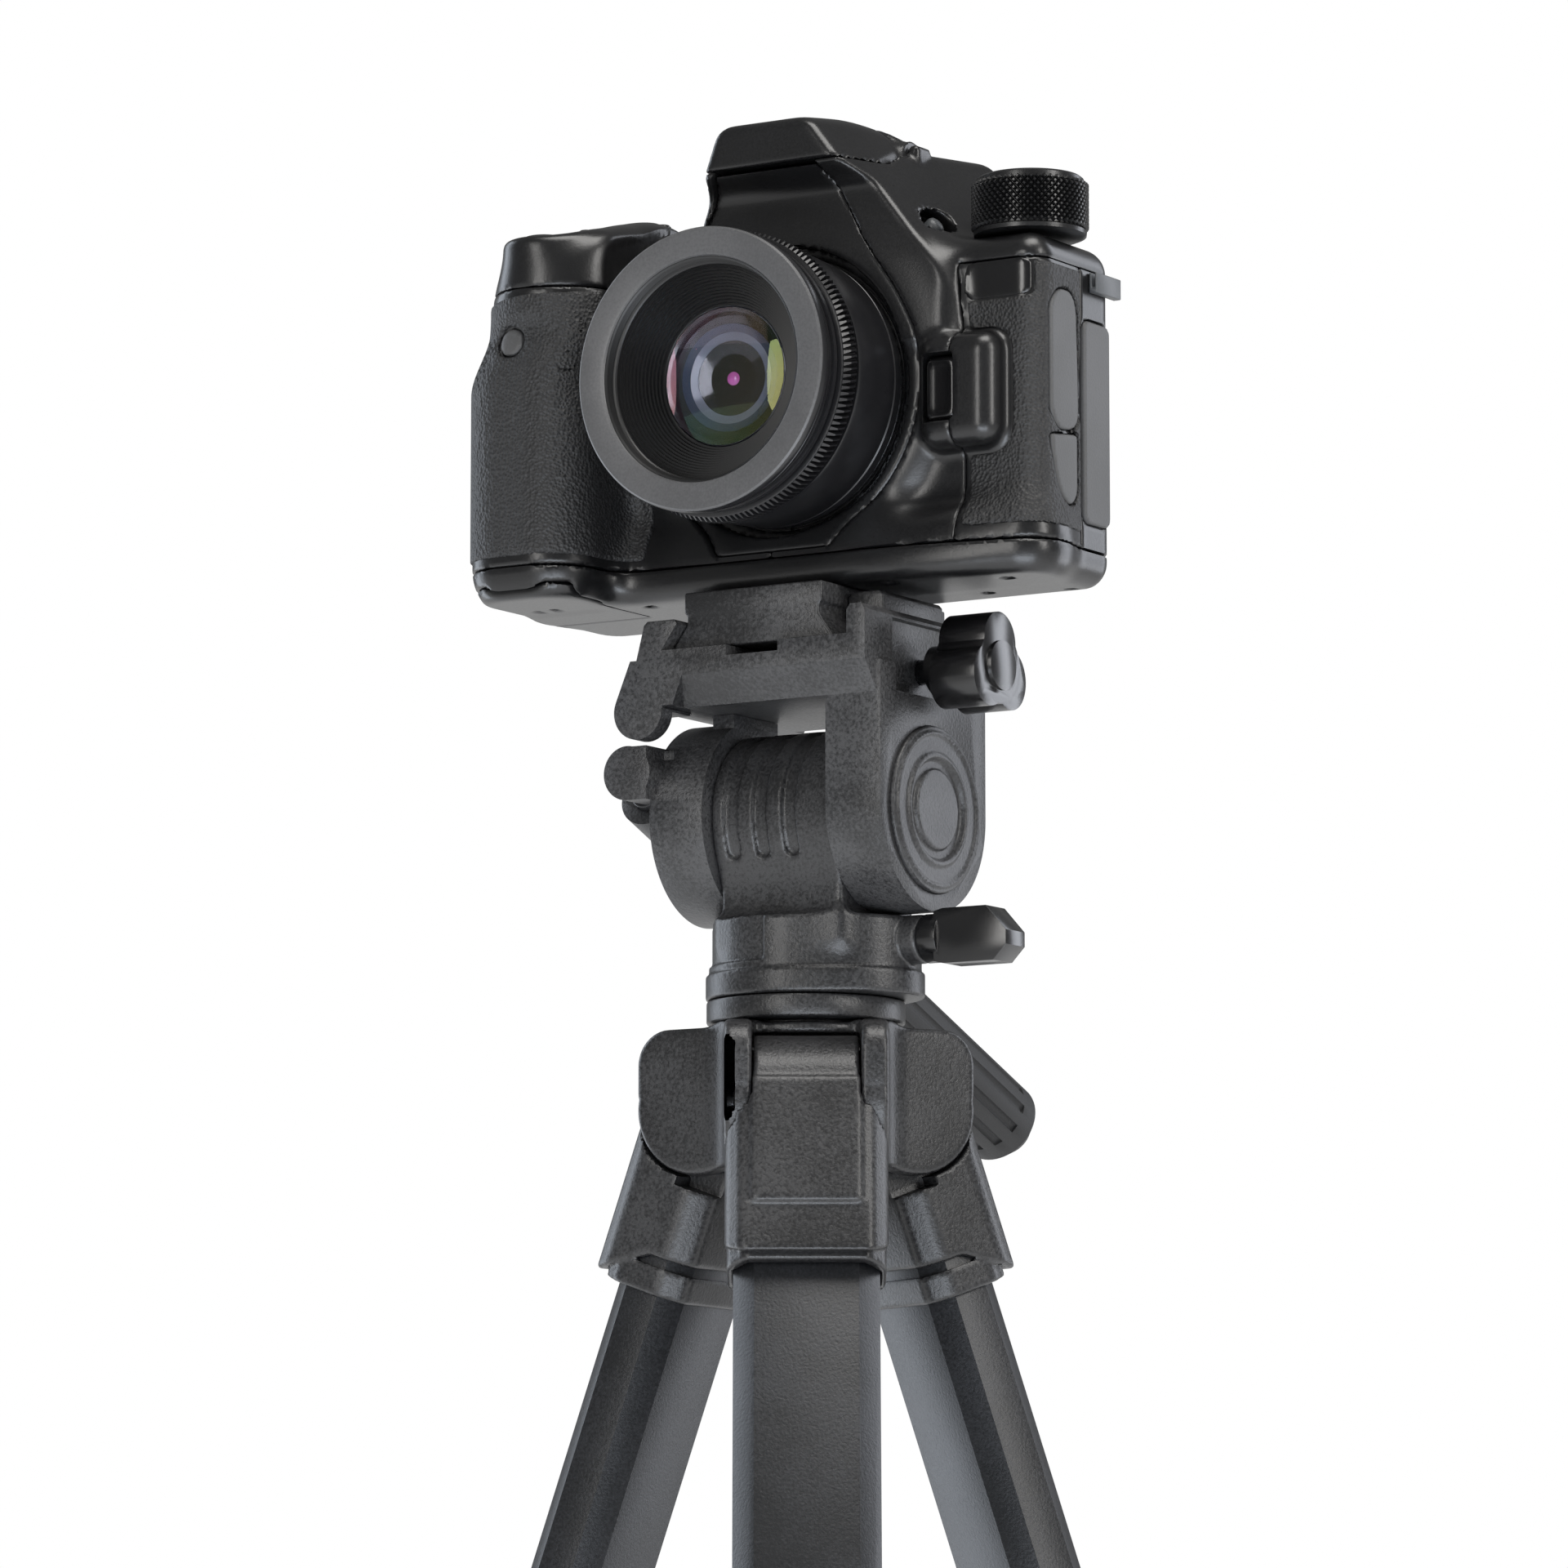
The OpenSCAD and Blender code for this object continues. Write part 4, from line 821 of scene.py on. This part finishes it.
# ---- Studs and ribs ------------------------------------------------------
# The focus ring's fine ribs and the dial's diamond knurl are moulded or cut in rows
# of small four-sided studs that stand on a round surface.

def apply_modifiers(made):
    """Replaces the mesh by what its modifiers make of it, and clears them."""
    evaluated = made.evaluated_get(bpy.context.evaluated_depsgraph_get())
    data = bpy.data.meshes.new_from_object(evaluated)
    made.modifiers.clear()
    made.data = data


def stud_tree():
    """Rings of leaning studs, with named inputs for their number and sizes."""
    tree = bpy.data.node_groups.new("stud_rows", "GeometryNodeTree")
    tree.interface.new_socket("Geometry", in_out="OUTPUT", socket_type="NodeSocketGeometry")
    for name, kind in (("Count", "NodeSocketInt"), ("Rows", "NodeSocketInt"),
                       ("Row Step", "NodeSocketFloat"), ("Radius", "NodeSocketFloat"),
                       ("Stud Size", "NodeSocketVector"), ("Stud Turn", "NodeSocketFloat"),
                       ("Material", "NodeSocketMaterial")):
        tree.interface.new_socket(name, in_out="INPUT", socket_type=kind)
    ends = add_node(tree, "NodeGroupInput").outputs
    step = add_node(tree, "ShaderNodeCombineXYZ", {"Z": ends["Row Step"]})
    rows = add_node(tree, "GeometryNodeMeshLine", {"Count": ends["Rows"], "Offset": step.outputs[0]})
    ring = add_node(tree, "GeometryNodeMeshCircle", {"Vertices": ends["Count"], "Radius": ends["Radius"]})
    number = add_node(tree, "GeometryNodeInputIndex")
    half = add_node(tree, "ShaderNodeMath", {1: ends["Count"]}, operation="DIVIDE")
    half.inputs[0].default_value = math.pi
    shift = add_node(tree, "ShaderNodeMath", {0: number.outputs[0], 1: half.outputs[0]},
                     operation="MULTIPLY")
    spin = add_node(tree, "ShaderNodeCombineXYZ", {"Z": shift.outputs[0]})
    rings = add_node(tree, "GeometryNodeInstanceOnPoints",
                     {"Points": rows.outputs[0], "Instance": ring.outputs[0], "Rotation": spin.outputs[0]})
    points = add_node(tree, "GeometryNodeRealizeInstances", {0: rings.outputs[0]})
    stud = add_node(tree, "GeometryNodeMeshCone", Vertices=4, **{"Radius Bottom": 0.7071,
                                                                 "Radius Top": 0.30, "Depth": 1.0})
    squared = add_node(tree, "GeometryNodeTransform", {0: stud.outputs[0]},
                       Rotation=(0, 0, math.pi / 4))
    sized = add_node(tree, "GeometryNodeTransform", {0: squared.outputs[0], "Scale": ends["Stud Size"]})
    turn = add_node(tree, "ShaderNodeCombineXYZ", {"Z": ends["Stud Turn"]})
    turned = add_node(tree, "GeometryNodeTransform", {0: sized.outputs[0], "Rotation": turn.outputs[0]})
    leaned = add_node(tree, "GeometryNodeTransform", {0: turned.outputs[0]},
                      Rotation=(0, math.pi / 2, 0))
    spot = add_node(tree, "GeometryNodeInputPosition")
    parts = add_node(tree, "ShaderNodeSeparateXYZ", {0: spot.outputs[0]})
    angle = add_node(tree, "ShaderNodeMath", {0: parts.outputs["Y"], 1: parts.outputs["X"]},
                     operation="ARCTAN2")
    facing = add_node(tree, "ShaderNodeCombineXYZ", {"Z": angle.outputs[0]})
    studs = add_node(tree, "GeometryNodeInstanceOnPoints",
                     {"Points": points.outputs[0], "Instance": leaned.outputs[0],
                      "Rotation": facing.outputs[0]})
    solid = add_node(tree, "GeometryNodeRealizeInstances", {0: studs.outputs[0]})
    painted = add_node(tree, "GeometryNodeSetMaterial", {0: solid.outputs[0], "Material": ends["Material"]})
    out = add_node(tree, "NodeGroupOutput")
    tree.links.new(painted.outputs[0], out.inputs[0])
    return tree


stud_rows = stud_tree()


def studded(name, place, body, slot, material, **sizes):
    """Rows of studs round the Z axis, then put in place by a matrix in metres."""
    made = mesh_object(name, [], [])
    modifier = made.modifiers.new("studs", "NODES")
    modifier.node_group = stud_rows
    for item in stud_rows.interface.items_tree:
        if item.in_out == "INPUT":
            value = material if item.name == "Material" else sizes[item.name.replace(" ", "_").lower()]
            modifier[item.identifier] = value
    apply_modifiers(made)
    made.data.transform(place)
    settle(made, body, None, 20)
    return made


lens_matrix = Matrix.Translation(camera_zero + Vector((0, MOUNT_Y, LENS_Z)) * MM) @ \
    Matrix.Rotation(math.radians(90), 4, "X")
studded("focus_ring_ribs", lens_matrix @ Matrix.Translation((0, 0, 25.5 * MM)), "focus", "lens_metal",
        black_metal, count=150, rows=1, row_step=0.0, radius=33.95 * MM,
        stud_size=(6.4 * MM, 0.95 * MM, 1.3 * MM), stud_turn=math.radians(14))


# ---- Mode dial -----------------------------------------------------------
# An ABS knob with a diamond knurl, a rim at its foot and a dished top, pressed onto
# its spindle.

def upright(name, centre, profile, body, material, stands_for=(), steps=96, tilt=0.0, smooth=32):
    """A turned piece that stands on the camera: profile points are [radius, height]."""
    verts = []
    rows = []
    for radius, height in profile:
        count = 1 if radius == 0 else steps
        rows.append([len(verts) + (k if count > 1 else 0) for k in range(steps)])
        for k in range(count):
            turn = 2 * math.pi * k / steps
            spot = Vector((radius * math.cos(turn), radius * math.sin(turn), height))
            spot.rotate(Euler((0, tilt, 0)))
            verts.append(Vector(centre) + spot)
    faces = []
    for first, second in zip(rows, rows[1:]):
        for k in range(steps):
            j = (k + 1) % steps
            faces.append(list(dict.fromkeys([first[k], first[j], second[j], second[k]])))
    made = mesh_object(name, camera_place(verts), faces)
    mesh = bmesh.new()
    mesh.from_mesh(made.data)
    bmesh.ops.recalc_face_normals(mesh, faces=mesh.faces)
    mesh.to_mesh(made.data)
    mesh.free()
    settle(made, body, material, smooth)
    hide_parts(*stands_for)
    return made


upright("mode_dial_knob", (*DIAL, 0), [(0, 81.3), (4, 81.3), (4, 84.2), (12.6, 84.2), (13.6, 84.6),
        (13.7, 85.6), (13.1, 86.0), (13.1, 97.4), (13.0, 98.4), (12.3, 98.95), (10.8, 98.95),
        (10.4, 98.5), (0, 98.5)], "dial", satin_abs, ("mode_dial",))
dial_matrix = Matrix.Translation(camera_zero + Vector((*DIAL, 86.7)) * MM)
studded("mode_dial_knurl", dial_matrix, "dial", slot_of["mode_dial"], satin_abs, count=52, rows=12,
        row_step=0.92 * MM, radius=13.2 * MM, stud_size=(1.15 * MM, 1.15 * MM, 1.0 * MM),
        stud_turn=math.radians(45))


# ---- Buttons -------------------------------------------------------------
# Small moulded keys on springs, each with a rounded edge. The flash key is satin grey
# ABS, the others are polished black.

grey_abs = grained("grey_satin_abs", "#3E4042", "#393B3D", 0.42, 0.06, 0.5, 0.12)

upright("shutter_key", (*SHUTTER, 0), [(0, 81.2), (3, 81.2), (3, 88.4), (5.4, 88.4), (6.2, 89.2),
        (6.1, 90.0), (5.0, 90.6), (2.5, 90.4), (0, 90.3)], "shutter",
        gloss_abs, ("shutter_button",), 64, 0.0, 60)
for place, body, node in ((BUTTONS[0], "key_a", "top_button_a"), (BUTTONS[1], "key_b", "top_button_b")):
    top = 98.6 if body == "key_a" else 98.4
    upright(node + "_cap", (*place, 0), [(0, 84.2), (2.1, 84.2), (2.1, top - 0.6), (1.6, top - 0.1),
            (0, top)], body, gloss_abs, (node,), 32, 0.0, 50)
upright("flash_key_cap", FLASH_KEY, [(0, 0.1), (2.5, 0.1), (2.5, 7.0), (2.1, 7.8), (1.2, 8.2), (0, 8.25)],
        "flash_key", grey_abs, ("flash_button",), 40, KEY_LEAN, 60)


def release_key(p):
    """The lens release: a tall block with a dished face."""
    block = rounded_box(p, (RELEASE[0] - 4.5, -15.2, RELEASE[1] - 8.0),
                        (RELEASE[0] + 4.5, -8.2, RELEASE[1] + 8.0), 2.2)
    dish = rounded_box(p, (RELEASE[0] - 3.2, -20, RELEASE[1] - 6.4),
                       (RELEASE[0] + 3.2, -14.6, RELEASE[1] + 6.4), 1.6)
    return soft_max(block, -dish, 0.8)


skin("release_key", release_key(grid), release_key, "release", gloss_abs,
     ("release_button",))


# ---- Hub and leg castings ------------------------------------------------
# Die-cast aluminium with a fine sprayed grain: a spider whose cheeks cover the hinge
# pins, and a casting on each leg with a raised panel and a collar round the tube.

body_of = {n: b for b, names in frame["record"]["behaviour"]["bodies"].items() for n in names}

# Cast aluminium under dark paint: its sandy skin shows through as a coarse sheen.
cast_metal = grained("cast_aluminium", "#2B2B2C", "#141415", 0.36, 0.12, 0.8, 0.5)

on_axis = Matrix.Translation((pan_axis.x, pan_axis.y, hinge_z))
LEG_TILT = math.radians(20)
LEG_ANGLES = [math.radians(-90 + 32 + 120 * i) for i in range(3)]
HINGE_R = 20.0
TONGUE = 12.5
KNUCKLE = 19.5
PIN_HOLE_R = 3.1


def turned_about_z(p, angle):
    """The same points, seen from a leg that stands at this angle."""
    c, s = math.cos(angle), math.sin(angle)
    return [p[0] * c + p[1] * s, p[1] * c - p[0] * s, p[2]]


def octagon(p, x0, x1, half, cut_x0, cut_x1, k=1.5):
    """A bar along Z with its four corners cut off."""
    x, y, _ = p
    side = soft_max(np.maximum(x0 - x, x - x1), np.abs(y) - half, k)
    outer = slope((x, np.abs(y), x), (x1 - cut_x1, half, 0), (1, 1.3, 0))
    inner = slope((x, np.abs(y), x), (x0 + cut_x0, half, 0), (-1, 1.3, 0))
    return soft_max(soft_max(side, outer, k), inner, k)


def hub_form(p):
    """A round post with a pair of cheeks for each leg."""
    form = round_post(p, 2, (0, 0), 21.5, -12, 19.4, 1)
    slots = np.full_like(p[0], 100.0)
    for angle in LEG_ANGLES:
        q = turned_about_z(p, angle)
        side = np.abs(q[1])
        disc = np.sqrt((q[0] - HINGE_R) ** 2 + q[2] ** 2) - 16.0
        crown = rounded_box((q[0], q[2], q[2] * 0), (4, -4, -9), (36, 19.3, 9), 8.5)
        cheek = soft_max(np.minimum(disc, crown), np.maximum(side - KNUCKLE, TONGUE + 0.3 - side), 1.6)
        form = soft_min(form, cheek, 4)
        tongue = np.maximum(side - TONGUE - 0.4, np.maximum(4 - q[0], q[2] - 16.8))
        slots = np.minimum(slots, tongue)
        slots = np.minimum(slots, round_post(q, 1, (HINGE_R, 0), PIN_HOLE_R, -17.8, 17.8, 0.1))
    slots = np.minimum(slots, round_post(p, 2, (0, 0), 5.2, -30, 40, 0.1))
    return soft_max(form, -slots, 0.5)


formed("hub_casting", hub_form, (-38, -38, -17), (38, 38, 20), 0.75, on_axis, body_of["hub"],
       cast_metal, ("hub",))


def leg_form(p):
    """One leg casting, with the hinge pin on Y and the tube down Z."""
    x, y, z = p
    trunk = octagon(p, -10.8, 15.4, KNUCKLE - 0.2, 5.5, 5)
    trunk = soft_max(trunk, z + 5 - 0.35 * np.maximum(-x, 0), 1.5)
    flare = soft_max(trunk, -37.0 - 0.55 * np.maximum(0, x) - z, 1.5)
    collar = soft_max(octagon(p, -10.8, 12.6, 18.8, 5.4, 5.4), -z - 46.0, 1.0)
    collar = soft_max(collar, z + 30, 1)
    lip = soft_max(octagon(p, -10.5, 11.8, 18.4, 5.4, 5.4), np.maximum(-z - 46.0, z + 40), 0.6)
    panel = soft_max(octagon(p, 0, 16.8, 14.2, 1, 1.6), np.maximum(-33 - z, z + 0.5), 1.4)
    tongue = round_post(p, 1, (0, 0), 16.0, -TONGUE, TONGUE, 1)
    tongue = soft_max(tongue, -7 - x, 0.6)
    seat = np.sqrt(x ** 2 + z ** 2) - 16.7
    seat = np.minimum(seat, soft_max(-(x + 19), np.maximum(x + 1, np.maximum(-19 - z, z - 4)), 0.5))
    seat = np.maximum(seat, TONGUE + 0.1 - np.abs(y))
    form = soft_min(soft_min(flare, np.maximum(collar, lip - 0.7), 0.6), panel, 0.8)
    form = soft_min(np.maximum(form, -seat), tongue, 1)
    form = np.maximum(form, -np.maximum(np.maximum(-12 - x, x + 7), np.maximum(-9 - z, z - 3)))
    form = np.maximum(form, -round_post(p, 1, (0, 0), PIN_HOLE_R, -40, 40, 0.1))
    bore = np.maximum(octagon(p, -9.65, 9.65, 17.4, 5, 5, 0.3), z + 19.5)
    return soft_max(form, -bore, 0.4)


def leg_frame(angle):
    """Places a leg casting on its hinge pin, leaning at rest."""
    return on_axis @ Matrix.Rotation(angle, 4, "Z") @ Matrix.Translation((HINGE_R * MM, 0, 0)) @ \
        Matrix.Rotation(-LEG_TILT, 4, "Y")


for i, angle in enumerate(LEG_ANGLES, 1):
    node = f"leg_casting_{i}"
    formed(node + "_body", leg_form, (-12, -20, -47), (18, 20, 17), 0.75, leg_frame(angle),
           body_of[node], cast_metal, (node,))


# ---- Panning base --------------------------------------------------------
# Cast housing: a round base with a boss for the lock screw, a neck, and a drum with
# three shallow round-ended grooves round its front.

BASE_R = 24.2
DRUM_Z = 70.5
DRUM_R = 21
SHAFT_HOLE_R = 6.2
GROOVES = (-8.6, -0.4, 7.8)


def housing_form(p):
    """Skirt and foot, neck and drum, with three grooves and two bores."""
    x, y, z = p
    ring = np.sqrt(x ** 2 + y ** 2) - BASE_R
    boss = np.sqrt((x - 13.7) ** 2 + y ** 2) - 17
    wide = soft_min(ring, boss, 6)
    skirt = soft_max(wide, np.maximum(26.3 - z, z - 32.4), 0.8)
    foot = soft_min(skirt, soft_max(wide + 0.8, np.maximum(30 - z, z - 45.2), 1.2), 0.4)
    panel = rounded_box((x, z, z * 0), (-21.5, 34.4, -9), (2.5, 60, 9), 1.2)
    panel = np.maximum(panel, y)
    foot = soft_max(foot, -np.maximum(panel, -wide - 1.7), 0.4)
    neck = soft_max(rounded_box(p, (-14, -16.5, 38), (20.4, 16.5, 68), 1.5), z - 68, 1)
    drum_r = np.sqrt(y ** 2 + (z - DRUM_Z) ** 2)
    drum = soft_max(drum_r - DRUM_R, np.maximum(-14 - x, x - 20.4), 1)
    lower = soft_min(neck, drum, 5)
    lower = soft_max(lower, np.maximum(-14 - x, x - 20.4), 0.8)
    form = soft_min(lower, foot, 4)
    form = np.minimum(form, round_post(p, 0, (0, 39.5), 5.9, 20, 34, 1))
    around = np.arctan2(z - DRUM_Z, -y) * DRUM_R
    for centre in GROOVES:
        reach = np.maximum(np.maximum(-9.5 - around, around - 29), 0)
        groove = np.sqrt((x - centre) ** 2 + reach ** 2) - 1.9
        form = soft_max(form, -soft_max(groove, 20.1 - drum_r, 0.4), 0.5)
    form = np.maximum(form, -round_post(p, 2, (0, 0), 8.2, 20, 34, 0.1))
    form = np.maximum(form, -round_post(p, 0, (0, DRUM_Z), SHAFT_HOLE_R, -40, 60, 0.1))
    return np.maximum(form, -round_post(p, 0, (0, 39.5), 3.2, 14, 60, 0.1))


formed("pan_housing_casting", housing_form, (-25, -25, 26), (35, 25, 92), 0.7, on_axis,
       body_of["pan_housing"], cast_metal, ("pan_housing",))


# ---- Turned cap ----------------------------------------------------------
# Closes the end of the tilt shaft: turned aluminium, pressed on, with a raised disc
# inside rolled concentric rings.

# Sprayed paint over aluminium: an orange-peel grain with soft highlights.
sprayed_metal = grained("sprayed_aluminium", "#363637", "#1A1A1B", 0.40, 0.12, 0.8, 0.6)
CAP_R = 20.1


def cap_form(p):
    """A thin disc with two rolled rings and a raised middle."""
    x, y, z = p
    r = np.sqrt(y ** 2 + (z - DRUM_Z) ** 2)
    face = 37.0 + 0.55 * np.exp(-((r - 18.4) / 0.55) ** 2) + 0.75 * step_up((14.6 - r) / 1.6) \
        - 1.4 * step_up((12.9 - r) / 1.4) + 1.0 * step_up((10.2 - r) / 0.9)
    return soft_max(soft_max(r - CAP_R, x - face, 0.4), 34.8 - x, 0.2)


formed("tilt_cap_disc", cap_form, (34, -21, 49), (39, 21, 92), 0.5, on_axis, body_of["tilt_cap"],
       sprayed_metal, ("tilt_cap",))


# ---- Clamp and tilting bracket -------------------------------------------
# Die-cast brackets, sprayed: the platform that tilts on the shaft, its fixed cheek, the
# sliding jaw and the quick-release plate, over the cast ring that the head turns on. Each
# keeps the form of its frame piece, with its edges broken.

nodes = frame["nodes"]


def finish_edges(made, radius, segments=2, limit=30):
    """Rounds the edges sharper than a limit in degrees."""
    bevel = made.modifiers.new("edges", "BEVEL")
    bevel.width = radius * MM
    bevel.segments = segments
    bevel.limit_method = "ANGLE"
    bevel.angle_limit = math.radians(limit)
    bevel.harden_normals = False
    apply_modifiers(made)


def eased(name, node, body, material, radius=0.5, segments=2):
    """A copy of a frame piece with rounded edges, riding on its body."""
    source = nodes[node]
    mesh = bmesh.new()
    mesh.from_mesh(source.data)
    bmesh.ops.remove_doubles(mesh, verts=mesh.verts, dist=0.00001)
    bmesh.ops.dissolve_limit(mesh, angle_limit=math.radians(1), verts=mesh.verts, edges=mesh.edges)
    data = bpy.data.meshes.new(name)
    mesh.to_mesh(data)
    mesh.free()
    made = bpy.data.objects.new(name, data)
    bpy.context.scene.collection.objects.link(made)
    finish_edges(made, radius, segments)
    settle(made, body, material)
    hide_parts(node)
    return made


def eased_set(material, radii):
    """Eased copies of several pieces, each with its own edge radius in millimetres."""
    for node, radius in radii.items():
        eased(node + "_eased", node, body_of[node], material, radius)


eased_set(sprayed_metal, {"tilt_bracket": 0.6, "clamp_cheek": 0.6, "clamp_jaw": 0.6, "quick_plate": 0.5})
eased_set(cast_metal, {"base_ring": 0.5})


# ---- Clamp knob and lock wing --------------------------------------------
# Polished ABS mouldings on steel studs: the three-lobed clamp knob that moves the jaw,
# and the wing that locks the panning base.

eased_set(gloss_abs, {"clamp_knob": 1.0, "pan_lock_wing": 0.9})


# ---- Handle --------------------------------------------------------------
# The pan handle: a drawn and anodised aluminium rod with a ribbed rubber sleeve
# pushed over its end.

# Anodised tube: smooth and cool grey-black, with a long soft highlight.
anodised_tube = grained("anodised_tube", "#202124", "#131416", 0.36, 0.08, 0.7, 0.3, 0.2)
# Moulded rubber: black and dull.
rubber = grained("moulded_rubber", "#111112", "#0D0D0E", 0.62, 0.08, 0.5, 0.2)
eased_set(anodised_tube, {"handle_rod": 0.4})
eased_set(rubber, {"handle_grip": 0.4})


# ---- Legs ----------------------------------------------------------------
# Drawn aluminium tubes, anodised: an upper one glued in each casting and a lower one
# that slides in it, with a moulded flip lever to lock it and a rubber foot.

for i in (1, 2, 3):
    eased_set(anodised_tube, {f"leg_tube_{i}": 0.7, f"lower_tube_{i}": 0.6})
    eased_set(gloss_abs, {f"lock_lever_{i}": 0.8})
    eased_set(rubber, {f"foot_{i}": 1.0})


# ---- Camera fittings -----------------------------------------------------
# Small parts fixed to the covers: grey strap lugs, a steel accessory shoe, a rubber
# eyecup, the rear screen and dial, and the battery behind its door.

# Machined steel: bright grey with a fine lathe sheen.
turned_steel = grained("turned_steel", "#9FA1A4", "#8A8C90", 0.30, 0.08, 0.5, 0.05, 1.0)
eased_set(grey_abs, {"strap_lugs": 0.3})
eased_set(turned_steel, {"hot_shoe": 0.25})
eased_set(rubber, {"eyecup": 1.2})
eased_set(gloss_abs, {"screen": 0.5})
eased_set(satin_abs, {"rear_dial": 0.5, "battery": 1.2})


# ---- Inner works and fixings ---------------------------------------------
# The mount's mirror box, the hinged mirror and the glass prism above it, then the steel
# camera screw, hinge pins and tilt shaft.

eased_set(turned_steel, {"camera_screw": 0.3, "mirror": 0.1, "mirror_box": 0.2, "hub_pins": 0.4,
                         "tilt_shaft": 0.4})
eased_set(tinted_glass("prism_glass", "#2B3036", 0.08), {"pentaprism": 0.3})
